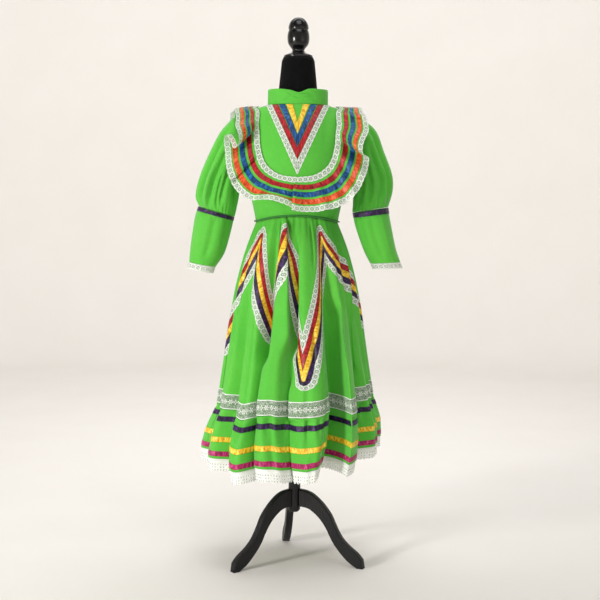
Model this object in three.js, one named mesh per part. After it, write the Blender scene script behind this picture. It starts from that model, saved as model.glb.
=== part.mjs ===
// A folklorico dress on a black dress form with a turned finial and a three-legged stand.
// Millimetres, +Z up. The front faces -Y, +X is on the viewer's right, and the origin is on the floor
// under the pole. Angles round the body start at the front centre and grow towards +X.
import * as THREE from "three";

// Cloth and trim
const CLOTH = 2; // a cloth wall
const SEAM_GAP = 0.4; // between two pieces that meet at a seam
const TRIM_LIFT = 0.9; // a ribbon's edges above the cloth under it
const TRIM_CROWN = 1.1; // a ribbon's middle above its edges
const LACE = 1.5; // a lace edging that hangs free

// Heights of the dress
const WAIST_SIDE = 1007;
const WAIST_FRONT_RISE = 18; // the waist seam arches up at the front
const NECK_SEAM = 1351;
const COLLAR_TOP = 1396;
const COLLAR_DIP = 12; // the collar's edge sags at the front
const SKIRT_SEAM = 458; // where the flounce is sewn on
const FLOUNCE_LENGTH = 144;
const HEM_LACE = 37;
const INSERTION_LACE = 44; // the lace band above the flounce
const SEAM_RISE = { right: 42, left: 10 }; // how far the skirt is hitched up at each side
const HEM_RISE = { right: 20, left: 12 }; // how much further the hem swings up there

// Steps used to find a surface's slope, in the units that its u and v run in
const STEP = { angle: 0.05, wide: 0.5, height: 0.5, share: 0.002, loop: 0.004, across: 0.01 };

const rad = THREE.MathUtils.degToRad;
const clamp = THREE.MathUtils.clamp;
const lerp = THREE.MathUtils.lerp;
const vec = (x, y, z) => new THREE.Vector3(x, y, z);
const group = new THREE.Group();

// Materials
const finish = (color, roughness, metalness = 0) =>
  new THREE.MeshStandardMaterial({ color, roughness, metalness });
const GREEN = finish(0x4fc534, 0.75);
const PIPING = finish(0x1f6b24, 0.7);
const WHITE_LACE = finish(0xf2f5ee, 0.85);
const RED = finish(0xc01424, 0.35);
const BLUE = finish(0x0f5fae, 0.35);
const YELLOW = finish(0xf3b713, 0.35);
const ORANGE = finish(0xec5a1f, 0.35);
const PURPLE = finish(0x3b1759, 0.35);
const MAGENTA = finish(0xb01c66, 0.35);
const BLACK_CLOTH = finish(0x0a0a0b, 0.9);
const BLACK_LACQUER = finish(0x101012, 0.25);
const BLACK_WOOD = finish(0x151517, 0.5);

function add(name, geometry, material) {
  const mesh = new THREE.Mesh(geometry, material.clone());
  mesh.name = name;
  group.add(mesh);
  return mesh;
}

// Reads a table at any value of its key column, on a smooth curve through its rows.
function readTable(rows, key, value) {
  const last = rows.length - 1;
  let i = 0;
  while (i < last - 1 && value > rows[i + 1][key]) i += 1;
  const [before, from, to, after] = [i - 1, i, i + 1, i + 2].map((n) => rows[clamp(n, 0, last)]);
  const span = to[key] - from[key];
  const t = clamp((value - from[key]) / span, 0, 1);
  const read = {};
  for (const name of Object.keys(from)) {
    const slopeIn = (to[name] - before[name]) / (to[key] - before[key]);
    const slopeOut = (after[name] - from[name]) / (after[key] - from[key]);
    read[name] =
      from[name] * (1 + 2 * t) * (1 - t) ** 2 +
      to[name] * t * t * (3 - 2 * t) +
      span * (slopeIn * t * (1 - t) ** 2 - slopeOut * t * t * (1 - t));
  }
  return read;
}

// A surface is a function of u, round the body, and v, downwards or outwards, that gives a point.
// This gives its point at u and v, moved out along the surface's normal.
function movedOut(surface, u, v, out, stepU = STEP.angle, stepV = STEP.share) {
  const across = surface(u + stepU, v).sub(surface(u - stepU, v));
  const down = surface(u, v + stepV).sub(surface(u, v - stepV));
  return surface(u, v).addScaledVector(down.cross(across).normalize(), out);
}

// The same surface with straight runs between the given rows, as its faceted wall has them.
function straightBetween(surface, rows) {
  return (u, v) => {
    let i = 0;
    while (i < rows.length - 2 && v > rows[i + 1]) i += 1;
    const share = (v - rows[i]) / (rows[i + 1] - rows[i]);
    return surface(u, rows[i]).lerp(surface(u, rows[i + 1]), share);
  };
}

// Splits the four-sided cell a, b, c, d along the diagonal that lies lower, or higher, on the outside.
// Its corners are top left, top right, bottom right and bottom left, seen from outside.
function splitCell(points, [a, b, c, d], higher) {
  const [pa, pb, pc, pd] = [a, b, c, d].map((i) => points[i]);
  const outward = pd.clone().sub(pa).cross(pb.clone().sub(pa));
  const rise = pa.clone().add(pc).sub(pb).sub(pd).dot(outward);
  const alongAC = higher ? rise > 0 : rise < 0;
  return alongAC ? [[a, d, c], [a, c, b]] : [[a, d, b], [d, c, b]];
}

const flipped = (faces, shift) => faces.map(([a, b, c]) => [a + shift, c + shift, b + shift]);

function solid(points, faces) {
  const geometry = new THREE.BufferGeometry();
  geometry.setAttribute(
    "position",
    new THREE.Float32BufferAttribute(points.flatMap((p) => p.toArray()), 3),
  );
  geometry.setIndex(faces.flat());
  geometry.computeVertexNormals();
  return geometry;
}

// A closed wall between an outer and an inner lattice of points, each a list of rows.
// ring joins the last column to the first.
function wallBetween(outer, inner, ring) {
  const rows = outer.length;
  const columns = outer[0].length;
  const points = [...outer.flat(), ...inner.flat()];
  const shift = rows * columns;
  const at = (r, c) => r * columns + (c % columns);
  const cells = ring ? columns : columns - 1;
  const faces = [];
  for (let r = 0; r < rows - 1; r += 1) {
    for (let c = 0; c < cells; c += 1) {
      const corners = [at(r, c), at(r, c + 1), at(r + 1, c + 1), at(r + 1, c)];
      const outside = splitCell(points, corners, false);
      faces.push(...outside, ...flipped(outside, shift));
    }
  }
  const rim = (from, to) => faces.push([from, to, to + shift], [from, to + shift, from + shift]);
  for (let c = 0; c < cells; c += 1) {
    rim(at(0, c), at(0, c + 1));
    rim(at(rows - 1, c + 1), at(rows - 1, c));
  }
  if (!ring) {
    for (let r = 0; r < rows - 1; r += 1) {
      rim(at(r + 1, 0), at(r, 0));
      rim(at(r, columns - 1), at(r + 1, columns - 1));
    }
  }
  return solid(points, faces);
}

// The wall inside a surface over the given columns and rows.
function clothWall(surface, columns, rows, ring, thickness = CLOTH) {
  const lattice = (out) => rows.map((v) => columns.map((u) => movedOut(surface, u, v, out)));
  return wallBetween(lattice(0), lattice(-thickness), ring);
}

// A ribbon that lies on a surface: edges(u) gives the v of its two edges at each column.
// Its section is a flat triangle, with its crown along the middle.
function ribbonOn(surface, columns, edges, ring, lift = TRIM_LIFT, stepU = STEP.angle) {
  const count = columns.length;
  const line = (v, out) => columns.map((u) => movedOut(surface, u, v(edges(u)), out, stepU));
  const top = line(([from]) => from, lift);
  const bottom = line(([, to]) => to, lift);
  const crown = line(([from, to]) => (from + to) / 2, lift + TRIM_CROWN);
  const points = [...top, ...crown, ...bottom];
  const faces = [];
  for (let c = 0; c < (ring ? count : count - 1); c += 1) {
    const next = (c + 1) % count;
    const [t, m, b] = [c, c + count, c + 2 * count];
    const [tn, mn, bn] = [next, next + count, next + 2 * count];
    faces.push(...splitCell(points, [t, tn, mn, m], true), ...splitCell(points, [m, mn, bn, b], true));
    faces.push(...flipped(splitCell(points, [t, tn, bn, b], true), 0));
  }
  if (!ring) {
    faces.push([0, count, 2 * count].reverse(), [count - 1, 2 * count - 1, 3 * count - 1]);
  }
  return solid(points, faces);
}

// A closed body through rings of points, from the lowest ring to the highest, capped at both ends.
function stackedRings(rings) {
  const count = rings[0].length;
  const points = [...rings.flat(), middle(rings[0]), middle(rings[rings.length - 1])];
  const low = points.length - 2;
  const faces = [];
  const topStart = (rings.length - 1) * count;
  for (let c = 0; c < count; c += 1) {
    const next = (c + 1) % count;
    for (let r = 0; r < rings.length - 1; r += 1) {
      const [a, b] = [r * count + c, r * count + next];
      faces.push([a, b, b + count], [a, b + count, a + count]);
    }
    faces.push([low, next, c], [low + 1, topStart + c, topStart + next]);
  }
  return solid(points, faces);
}

const middle = (ring) =>
  ring.reduce((sum, p) => sum.add(p), vec(0, 0, 0)).multiplyScalar(1 / ring.length);

// The body's shape, shared by the dress form and the bodice.
// width is the half width, front and back are the depths before and behind the pole.
const BODICE = [
  { z: 1000, width: 119, front: 86, back: 84 },
  { z: 1055, width: 130, front: 100, back: 90 },
  { z: 1105, width: 143, front: 118, back: 97 },
  { z: 1160, width: 149, front: 131, back: 103 },
  { z: 1205, width: 151, front: 127, back: 106 },
  { z: 1255, width: 153, front: 112, back: 103 },
  { z: 1295, width: 156, front: 93, back: 93 },
  { z: 1317, width: 149, front: 79, back: 81 },
  { z: 1335, width: 124, front: 70, back: 74 },
  { z: 1351, width: 88, front: 64, back: 68 },
];
const FORM = [
  { z: 790, width: 134, front: 104, back: 102 },
  { z: 860, width: 138, front: 106, back: 104 },
  { z: 940, width: 126, front: 94, back: 94 },
  { z: 1010, width: 111, front: 78, back: 77 },
  { z: 1055, width: 119, front: 88, back: 81 },
  { z: 1110, width: 134, front: 110, back: 89 },
  { z: 1160, width: 140, front: 121, back: 94 },
  { z: 1205, width: 143, front: 118, back: 97 },
  { z: 1255, width: 146, front: 102, back: 93 },
  { z: 1293, width: 148, front: 85, back: 84 },
  { z: 1317, width: 145, front: 73, back: 75 },
  { z: 1335, width: 118.6, front: 64, back: 68 },
  { z: 1350, width: 78, front: 57, back: 60 },
  { z: 1360, width: 60, front: 55, back: 57 },
  { z: 1395, width: 56, front: 56, back: 56 },
  { z: 1475, width: 48, front: 48, back: 48 },
  { z: 1486, width: 43, front: 43, back: 43 },
];

function onOval({ width, front, back }, angle, z) {
  const turn = rad(angle);
  const depth = Math.cos(turn) > 0 ? front : back;
  return vec(width * Math.sin(turn), -depth * Math.cos(turn), z);
}

// Dress form and stand
const FORM_COLUMNS = 20;
const TURNED_SEGMENTS = { finial: 16, pole: 12, hub: 16 };
const FINIAL = [
  [0, 1486.3], [42, 1486.3], [41, 1491], [30, 1496], [20, 1501], [17, 1506], [20, 1512], [28, 1522],
  [32, 1536], [32, 1550], [30, 1561], [28, 1565], [29.5, 1569], [28.5, 1578], [23, 1590], [13, 1599],
  [0, 1602],
];
const POLE_RADIUS = 14;
const HUB = [[0, 144], [10.5, 145.5], [16.3, 151], [17.5, 159], [17.5, 232], [14.5, 236], [0, 236]];
const LEG = { thickness: 22, curveSteps: 11 };
const LEG_TURNS = { leg_left: -53, leg_right: 67, leg_back: 187 };
const LEG_UPPER_EDGE = [
  [17.9, 214], [40, 211], [61, 203], [86, 184], [106, 163], [121, 142], [131, 121], [143, 98],
  [157, 78], [178, 59], [202, 42], [218, 25],
];
const LEG_LOWER_EDGE = [
  [202, 0], [190, 6], [172, 18], [155, 34], [137, 54], [122, 75], [111, 96], [98, 117], [80, 138],
  [56, 156], [38, 162], [17.9, 163],
];
const FOOT_TIP = [222, 0];

function makeForm() {
  const rings = FORM.map((row) =>
    Array.from({ length: FORM_COLUMNS }, (_, i) => onOval(row, (360 * i) / FORM_COLUMNS, row.z)),
  );
  add("form_torso", stackedRings(rings), BLACK_CLOTH);
  const turned = (profile, segments) =>
    new THREE.LatheGeometry(
      profile.map(([r, z]) => new THREE.Vector2(r, z)),
      segments,
    ).rotateX(Math.PI / 2);
  add("finial", turned(FINIAL, TURNED_SEGMENTS.finial), BLACK_LACQUER);
  const hubTop = HUB[HUB.length - 1][1];
  const poleBottom = hubTop + SEAM_GAP;
  const poleTop = FORM[0].z - SEAM_GAP;
  const pole = [[0, poleBottom], [POLE_RADIUS, poleBottom], [POLE_RADIUS, poleTop], [0, poleTop]];
  add("pole", turned(pole, TURNED_SEGMENTS.pole), BLACK_WOOD);
  add("hub", turned(HUB, TURNED_SEGMENTS.hub), BLACK_WOOD);
}

function makeLeg(name, turn) {
  const { thickness, curveSteps } = LEG;
  const curve = (points) =>
    new THREE.SplineCurve(points.map(([r, z]) => new THREE.Vector2(r, z))).getPoints(curveSteps);
  const outline = new THREE.Shape([
    ...curve(LEG_UPPER_EDGE),
    new THREE.Vector2(...FOOT_TIP),
    ...curve(LEG_LOWER_EDGE),
  ]);
  const geometry = new THREE.ExtrudeGeometry(outline, { depth: thickness, bevelEnabled: false });
  geometry.translate(0, 0, -thickness / 2).rotateX(Math.PI / 2);
  add(name, geometry, BLACK_WOOD).rotation.z = rad(turn - 90);
}

// Skirt and flounce. Each valley between two folds has its angle, its share of the full depth, and
// how far round it drifts by the hem.
const FOLDS = [
  { valley: -80, depth: 0.8, drift: 3 },
  { valley: -52, depth: 0.6, drift: 8 },
  { valley: -26, depth: 1.25, drift: 6 },
  { valley: -5, depth: 0.8, drift: 9 },
  { valley: 31, depth: 1.2, drift: -9 },
  { valley: 57, depth: 0.6, drift: -5 },
  { valley: 82, depth: 0.8, drift: 0 },
  { valley: 106, depth: 1, drift: 3 },
  { valley: 131, depth: 0.8, drift: 2 },
  { valley: 159, depth: 1.1, drift: 5 },
  { valley: 188, depth: 0.9, drift: -3 },
  { valley: 217, depth: 1.1, drift: -5 },
  { valley: 247, depth: 0.9, drift: 1 },
];
const SKIRT_STEPS = [0, 0.1, 0.3, 0.5, 0.75, 0.9]; // columns within a fold, as shares of its width
const FLOUNCE_STEPS = [0, 1 / 6, 2 / 6, 3 / 6, 4 / 6, 5 / 6];
const GATHERS_PER_FOLD = 3;
const VALLEY_SHARPNESS = 4; // higher makes wider crests and narrower valleys
const SIDE_SEAMS = [-88.25, 89.5];
const SEAM_INSET = 0.12; // an angle that each panel stops short of the side seam
const SEAM_CLEAR = 1; // no other column stands nearer to a side seam than this angle
const HITCH_POWER = 1.5; // higher keeps the hitching nearer to the sides
const SKIRT_ROWS = [0, 0.1, 0.32, 0.62, 1];
const SKIRT = [
  { down: 0, width: 119, depth: 86, fold: 2 },
  { down: 0.1, width: 140, depth: 107, fold: 9 },
  { down: 0.2, width: 158, depth: 128, fold: 16 },
  { down: 0.35, width: 179, depth: 151, fold: 25 },
  { down: 0.5, width: 194, depth: 170, fold: 33 },
  { down: 0.7, width: 210, depth: 191, fold: 40 },
  { down: 1, width: 234, depth: 218, fold: 48 },
];
const FLOUNCE_DROPS = [0, 16, 77, FLOUNCE_LENGTH];
const FLOUNCE = [
  { drop: 0, width: 234, depth: 218, fold: 48, gather: 0, sway: 0 },
  { drop: 16, width: 243, depth: 227, fold: 51, gather: 3.2, sway: -1 },
  { drop: 77, width: 262, depth: 246, fold: 58, gather: 1.4, sway: -6 },
  { drop: 144, width: 270, depth: 253, fold: 62, gather: 0.4, sway: -11 },
  { drop: 190, width: 272, depth: 255, fold: 63, gather: 0, sway: -13 },
];

// The fold that an angle lies in, and the share of its width there.
function foldAt(angle) {
  const turn = THREE.MathUtils.euclideanModulo(angle - FOLDS[0].valley, 360) + FOLDS[0].valley;
  const index = FOLDS.findLastIndex((fold) => turn >= fold.valley);
  const next = (index + 1) % FOLDS.length;
  const end = FOLDS[next].valley + (next === 0 ? 360 : 0);
  return { index, next, share: (turn - FOLDS[index].valley) / (end - FOLDS[index].valley) };
}

// 0 on a fold's crest, down to minus the valley's depth.
function foldWave(angle) {
  const { index, next, share } = foldAt(angle);
  const depth = share < 0.5 ? FOLDS[index].depth : FOLDS[next].depth;
  return -depth * Math.cos(Math.PI * share) ** VALLEY_SHARPNESS;
}

const gatherWave = (angle) => -Math.cos(2 * Math.PI * GATHERS_PER_FOLD * foldAt(angle).share);

function foldDrift(angle) {
  const { index, next, share } = foldAt(angle);
  return lerp(FOLDS[index].drift, FOLDS[next].drift, share);
}

// Angles of the columns round the body, from the left side seam on.
function columnAngles(steps) {
  const angles = FOLDS.flatMap(({ valley }, i) => {
    const end = i + 1 < FOLDS.length ? FOLDS[i + 1].valley : FOLDS[0].valley + 360;
    return steps.map((step) => lerp(valley, end, step));
  });
  const start = SIDE_SEAMS[0] - STEP.angle;
  return angles
    .map((angle) => THREE.MathUtils.euclideanModulo(angle - start, 360) + start)
    .sort((a, b) => a - b);
}

// The columns of the front and the back panel, which stop just short of each other at the side seams.
function panelColumns(angles) {
  const right = angles.reduce((best, angle) =>
    Math.abs(angle - SIDE_SEAMS[1]) < Math.abs(best - SIDE_SEAMS[1]) ? angle : best,
  );
  const between = (from, to) => [
    from + SEAM_INSET,
    ...angles.filter((angle) => angle > from + SEAM_CLEAR && angle < to - SEAM_CLEAR),
    to - SEAM_INSET,
  ];
  return { front: between(angles[0], right), back: between(right, angles[0] + 360) };
}

const waistHeight = (angle) =>
  WAIST_SIDE + WAIST_FRONT_RISE * Math.max(0, Math.cos(rad(angle))) ** 2;

// How far a seam is hitched up at an angle, from its rise at the right and the left side.
function hitch(rise, angle) {
  const side = Math.sin(rad(angle));
  return (side > 0 ? rise.right : rise.left) * Math.abs(side) ** HITCH_POWER;
}

const seamHeight = (angle) => SKIRT_SEAM + hitch(SEAM_RISE, angle);

function foldedOval({ width, depth, fold }, wave, angle, z) {
  const turn = rad(angle);
  const inset = fold * wave;
  return vec((width + inset) * Math.sin(turn), -(depth + inset) * Math.cos(turn), z);
}

function skirtSurface(angle, down) {
  const z = lerp(waistHeight(angle), seamHeight(angle), down);
  return foldedOval(readTable(SKIRT, "down", down), foldWave(angle), angle, z);
}

// drop is the distance below the seam along the front.
function flounceSurface(angle, drop) {
  const { width, depth, sway, ...row } = readTable(FLOUNCE, "drop", drop);
  const wave = row.fold * foldWave(angle) + row.gather * gatherWave(angle);
  const share = drop / (FLOUNCE_LENGTH + HEM_LACE);
  const z = seamHeight(angle) - drop + hitch(HEM_RISE, angle) * share;
  const turned = angle + foldDrift(angle) * share;
  return foldedOval({ width, depth, fold: 1 }, wave, turned, z).add(vec(sway, 0, 0));
}

// Zigzag band round the skirt, as shares of the way from waist to seam.
// Each corner stands on a column of a fold; top and bottom are the band's two edges there.
const ZIGZAG = [
  { fold: 1, step: 0.1, top: 0.04, bottom: 0.32 },
  { fold: 2, step: 0.1, top: 0.38, bottom: 0.66 },
  { fold: 2, step: 0.75, top: 0.035, bottom: 0.33 },
  { fold: 3, step: 0.3, top: 0.61, bottom: 0.865 },
  { fold: 4, step: 0.1, top: 0.04, bottom: 0.28 },
  { fold: 6, step: 0.75, top: 0.4, bottom: 0.66 },
  { fold: 7, step: 0.75, top: 0.04, bottom: 0.3 },
  { fold: 8, step: 0.75, top: 0.5, bottom: 0.78 },
  { fold: 9, step: 0.75, top: 0.04, bottom: 0.3 },
  { fold: 10, step: 0.75, top: 0.5, bottom: 0.78 },
  { fold: 11, step: 0.75, top: 0.04, bottom: 0.3 },
  { fold: 12, step: 0.5, top: 0.47, bottom: 0.75 },
];
const ZIGZAG_TRIMS = [
  { name: "zigzag_lace_upper", from: 0, to: 0.26, material: WHITE_LACE },
  { name: "zigzag_ribbon_red", from: 0.275, to: 0.425, material: RED },
  { name: "zigzag_ribbon_yellow", from: 0.44, to: 0.59, material: YELLOW },
  { name: "zigzag_ribbon_purple", from: 0.605, to: 0.755, material: PURPLE },
  { name: "zigzag_lace_lower", from: 0.77, to: 1, material: WHITE_LACE },
];
const ZIGZAG_LIFT = 2.2;
const INSERTION_LIFT = 1.6;
const FLOUNCE_RIBBONS = [
  { name: "flounce_ribbon_purple", from: 21, to: 36, material: PURPLE },
  { name: "flounce_ribbon_yellow", from: 80, to: 95, material: YELLOW },
  { name: "flounce_ribbon_magenta", from: 125, to: 140, material: MAGENTA },
];

// The zigzag is straight on the flat cloth, so it runs evenly with the length along the cloth.
function zigzagBand(columns) {
  const halfway = 0.5;
  const sameAngle = 0.1;
  const along = [0];
  columns.forEach((angle, i) => {
    const next = i + 1 < columns.length ? columns[i + 1] : columns[0] + 360;
    const step = skirtSurface(next, halfway).distanceTo(skirtSurface(angle, halfway));
    along.push(along[i] + step);
  });
  const round = along[columns.length];
  const corners = ZIGZAG.map(({ fold, step, top, bottom }) => {
    const end = fold + 1 < FOLDS.length ? FOLDS[fold + 1].valley : FOLDS[0].valley + 360;
    const angle = lerp(FOLDS[fold].valley, end, step);
    const wrapped = angle < columns[0] ? angle + 360 : angle;
    const index = columns.findIndex((column) => Math.abs(column - wrapped) < sameAngle);
    return { at: along[index], top, bottom };
  }).sort((a, b) => a.at - b.at);
  corners.push({ ...corners[0], at: corners[0].at + round });
  corners.unshift({ ...corners[corners.length - 2], at: corners[corners.length - 2].at - round });
  const bands = new Map();
  columns.forEach((angle, i) => {
    const next = corners.findIndex((corner) => corner.at >= along[i]);
    const [from, to] = [corners[next - 1], corners[next]];
    const share = (along[i] - from.at) / (to.at - from.at);
    bands.set(angle, [lerp(from.top, to.top, share), lerp(from.bottom, to.bottom, share)]);
  });
  return bands;
}

function makeSkirt() {
  const columns = columnAngles(SKIRT_STEPS);
  const panels = panelColumns(columns);
  const seamShare = SEAM_GAP / (WAIST_SIDE - SKIRT_SEAM);
  const rows = SKIRT_ROWS.map((row, i) => {
    if (i === 0) return seamShare;
    return i === SKIRT_ROWS.length - 1 ? 1 - seamShare : row;
  });
  const faceted = straightBetween(skirtSurface, rows);
  add("skirt_front", clothWall(skirtSurface, panels.front, rows, false), GREEN);
  add("skirt_back", clothWall(skirtSurface, panels.back, rows, false), GREEN);
  const bands = zigzagBand(columns);
  for (const { name, from, to, material } of ZIGZAG_TRIMS) {
    const edges = (angle) => [from, to].map((share) => lerp(...bands.get(angle), share));
    add(name, ribbonOn(faceted, columns, edges, true, ZIGZAG_LIFT), material);
  }
  const laceTop = 1 - INSERTION_LACE / (WAIST_SIDE - SKIRT_SEAM);
  const edges = () => [laceTop, 1 - 2 * seamShare];
  add("insertion_lace", ribbonOn(faceted, columns, edges, true, INSERTION_LIFT), WHITE_LACE);
}

function makeFlounce() {
  const columns = columnAngles(FLOUNCE_STEPS);
  const panels = panelColumns(columns);
  const drops = FLOUNCE_DROPS.map((drop) => (drop === 0 ? SEAM_GAP : drop));
  const faceted = straightBetween(flounceSurface, drops);
  add("flounce_front", clothWall(flounceSurface, panels.front, drops, false), GREEN);
  add("flounce_back", clothWall(flounceSurface, panels.back, drops, false), GREEN);
  for (const { name, from, to, material } of FLOUNCE_RIBBONS) {
    add(name, ribbonOn(faceted, columns, () => [from, to], true), material);
  }
  const laceDrops = [FLOUNCE_LENGTH + 2 * SEAM_GAP, FLOUNCE_LENGTH + HEM_LACE];
  add("hem_lace", clothWall(flounceSurface, columns, laceDrops, true, LACE), WHITE_LACE);
}

// Bodice. Each panel runs between the side seams, and between the armholes above the underarm.
const BODICE_COLUMNS = 13;
const BODICE_INSET = 0.1; // an angle that each panel stops short of the side seam
const BODICE_ROWS = [1351, 1335, 1317, 1300, 1273, 1239, 1205, 1171, 1115, 1060];
const ARMHOLE = { top: 1303, bottom: 1168, halfWidth: 46 };

const bodiceSurface = (angle, down) => onOval(readTable(BODICE, "z", -down), angle, -down);

const offBodice = (angle, z, out) =>
  movedOut(bodiceSurface, angle, -z, out, STEP.angle, STEP.height);

// Half the armhole's opening at a height, as an angle either side of the side seam.
function armholeAngle(z) {
  const centre = (ARMHOLE.top + ARMHOLE.bottom) / 2;
  const rise = (z - centre) / ((ARMHOLE.top - ARMHOLE.bottom) / 2);
  const half = ARMHOLE.halfWidth * Math.sqrt(Math.max(0, 1 - rise * rise));
  const { front, back } = readTable(BODICE, "z", z);
  return THREE.MathUtils.radToDeg(Math.asin(half / Math.min(front, back)));
}

function makeBodice() {
  const panel = (middleAngle) => {
    const row = (z, out) =>
      Array.from({ length: BODICE_COLUMNS }, (_, i) => {
        const side = (2 * i) / (BODICE_COLUMNS - 1) - 1;
        const angle = middleAngle + side * (90 - BODICE_INSET - armholeAngle(z ?? 0));
        const height = z ?? waistHeight(angle) + SEAM_GAP;
        return offBodice(angle, height, out);
      });
    const lattice = (out) => [...BODICE_ROWS.map((z) => row(z, out)), row(null, out)];
    return wallBetween(lattice(0), lattice(-CLOTH), false);
  };
  add("bodice_front", panel(0), GREEN);
  add("bodice_back", panel(180), GREEN);
}

const COLLAR_COLUMNS = 24;
const COLLAR_DIP_POWER = 8; // higher makes the dip narrower

function makeCollar() {
  const neck = BODICE[BODICE.length - 1];
  const surface = (angle, down) => {
    const dip = COLLAR_DIP * Math.max(0, Math.cos(rad(angle))) ** COLLAR_DIP_POWER;
    return onOval(neck, angle, lerp(COLLAR_TOP - dip, NECK_SEAM + SEAM_GAP, down));
  };
  const columns = Array.from({ length: COLLAR_COLUMNS }, (_, i) => (360 * i) / COLLAR_COLUMNS);
  add("collar", clothWall(surface, columns, [0, 0.5, 1], true), GREEN);
}

const PIPING_COLUMNS = 36;
const PIPING_RADIUS = 2.6;
const PIPING_CLEAR = 2.9; // from the bodice's surface to the cord

// The cord that covers the waist seam, a tube of square section.
function makePiping() {
  const ring = Array.from({ length: PIPING_COLUMNS }, (_, i) => (360 * i) / PIPING_COLUMNS);
  const edge = (out, up) =>
    ring.map((angle) => {
      const { width, front, back } = readTable(BODICE, "z", waistHeight(angle));
      const oval = { width: width + out, front: front + out, back: back + out };
      return onOval(oval, angle, waistHeight(angle) + up);
    });
  const near = PIPING_CLEAR;
  const far = near + 2 * PIPING_RADIUS;
  const outer = [edge(far, PIPING_RADIUS), edge(far, -PIPING_RADIUS)];
  const inner = [edge(near, PIPING_RADIUS), edge(near, -PIPING_RADIUS)];
  add("waist_piping", wallBetween(outer, inner, true), PIPING);
}

// V of lace and ribbons on the front of the bodice.
// Each line gives half its width at the neck seam and the height of its point.
const YOKE_TOP = 1341;
const YOKE_ARM_STEPS = 10;
const YOKE_TRIMS = [
  { name: "yoke_lace", outer: [93, 1139], inner: [76, 1181], lift: 2.3, material: WHITE_LACE },
  { name: "yoke_ribbon_red", outer: [74, 1184], inner: [59, 1212], lift: 0.6, material: RED },
  { name: "yoke_ribbon_blue", outer: [53, 1219], inner: [38, 1247], lift: 0.6, material: BLUE },
  { name: "yoke_ribbon_yellow", outer: [32, 1256], inner: [16, 1287], lift: 0.8, material: YELLOW },
];

// The point of the bodice's front at x and z, as seen from the front.
function bodiceFront(x, z) {
  const { width, front } = readTable(BODICE, "z", z);
  return vec(x, -front * Math.sqrt(Math.max(0, 1 - (x / width) ** 2)), z);
}

// side runs from -1 at the left end over 0 at the point to 1 at the right end.
function makeYoke() {
  const sides = Array.from({ length: 2 * YOKE_ARM_STEPS + 1 }, (_, i) => i / YOKE_ARM_STEPS - 1);
  for (const { name, outer, inner, lift, material } of YOKE_TRIMS) {
    const surface = (side, across) => {
      const [top, tip] = inner.map((value, i) => lerp(value, outer[i], across));
      return bodiceFront(top * side, lerp(tip, YOKE_TOP, Math.abs(side)));
    };
    add(name, ribbonOn(surface, sides, () => [0, 1], false, lift, STEP.across), material);
  }
}

// Ruffle round the yoke, from the front centre at loop 0 over +X's shoulder at 1, the back centre
// at 2 and -X's shoulder at 3. The rows give a quarter of it: its sewn edge, as an angle and a height
// on the bodice, and its free edge.
const RUFFLE_QUARTER = [
  { along: 0, seamAngle: 0, seamZ: 1135, edgeX: 0, edgeY: -150, edgeZ: 1033 },
  { along: 0.18, seamAngle: 20, seamZ: 1143, edgeX: 86, edgeY: -148, edgeZ: 1044 },
  { along: 0.35, seamAngle: 36, seamZ: 1173, edgeX: 154, edgeY: -136, edgeZ: 1078 },
  { along: 0.52, seamAngle: 43, seamZ: 1219, edgeX: 194, edgeY: -116, edgeZ: 1146 },
  { along: 0.72, seamAngle: 45, seamZ: 1277, edgeX: 206, edgeY: -86, edgeZ: 1240 },
  { along: 0.88, seamAngle: 50, seamZ: 1323, edgeX: 196, edgeY: -46, edgeZ: 1308 },
  { along: 1, seamAngle: 90, seamZ: 1344, edgeX: 182, edgeY: 0, edgeZ: 1331 },
];
const BACK_EDGE_SCALE = 0.9; // the back's free edge stands out less
const RUFFLE_WAVES = 22;
const RUFFLE_WAVE = 8; // half the height of a wave at the free edge
const RUFFLE_WAVE_POWER = 0.8; // how fast the waves grow from the sewn edge
const RUFFLE_COLUMNS = 66;
const RUFFLE_ROWS = [0, 0.22, 0.43, 0.64, 0.86];
const RUFFLE_LIFT = 3.4; // its outer face above the bodice at the sewn edge
const RUFFLE_TRIMS = [
  { name: "ruffle_lace_inner", from: 0.01, to: 0.175, material: WHITE_LACE },
  { name: "ruffle_ribbon_red", from: 0.24, to: 0.39, material: RED },
  { name: "ruffle_ribbon_blue", from: 0.455, to: 0.6, material: BLUE },
  { name: "ruffle_ribbon_orange", from: 0.665, to: 0.8, material: ORANGE },
];
const RUFFLE_LACE = [0.868, 1];

function ruffleBase(loop, across) {
  const turn = THREE.MathUtils.euclideanModulo(loop, 4);
  const behind = turn > 1 && turn < 3;
  const side = turn < 2 ? 1 : -1;
  const along = turn < 2 ? turn : 4 - turn;
  const row = readTable(RUFFLE_QUARTER, "along", along > 1 ? 2 - along : along);
  const angle = side * (behind ? 180 - row.seamAngle : row.seamAngle);
  const seam = offBodice(angle, row.seamZ, RUFFLE_LIFT);
  const edgeY = behind ? -row.edgeY * BACK_EDGE_SCALE : row.edgeY;
  return seam.lerp(vec(side * row.edgeX, edgeY, row.edgeZ), across);
}

function ruffleSurface(loop, across) {
  const wave = 1 + Math.sin((2 * Math.PI * RUFFLE_WAVES * loop) / 4);
  const out = RUFFLE_WAVE * wave * across ** RUFFLE_WAVE_POWER;
  return movedOut(ruffleBase, loop, across, out, STEP.across, STEP.across);
}

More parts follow.
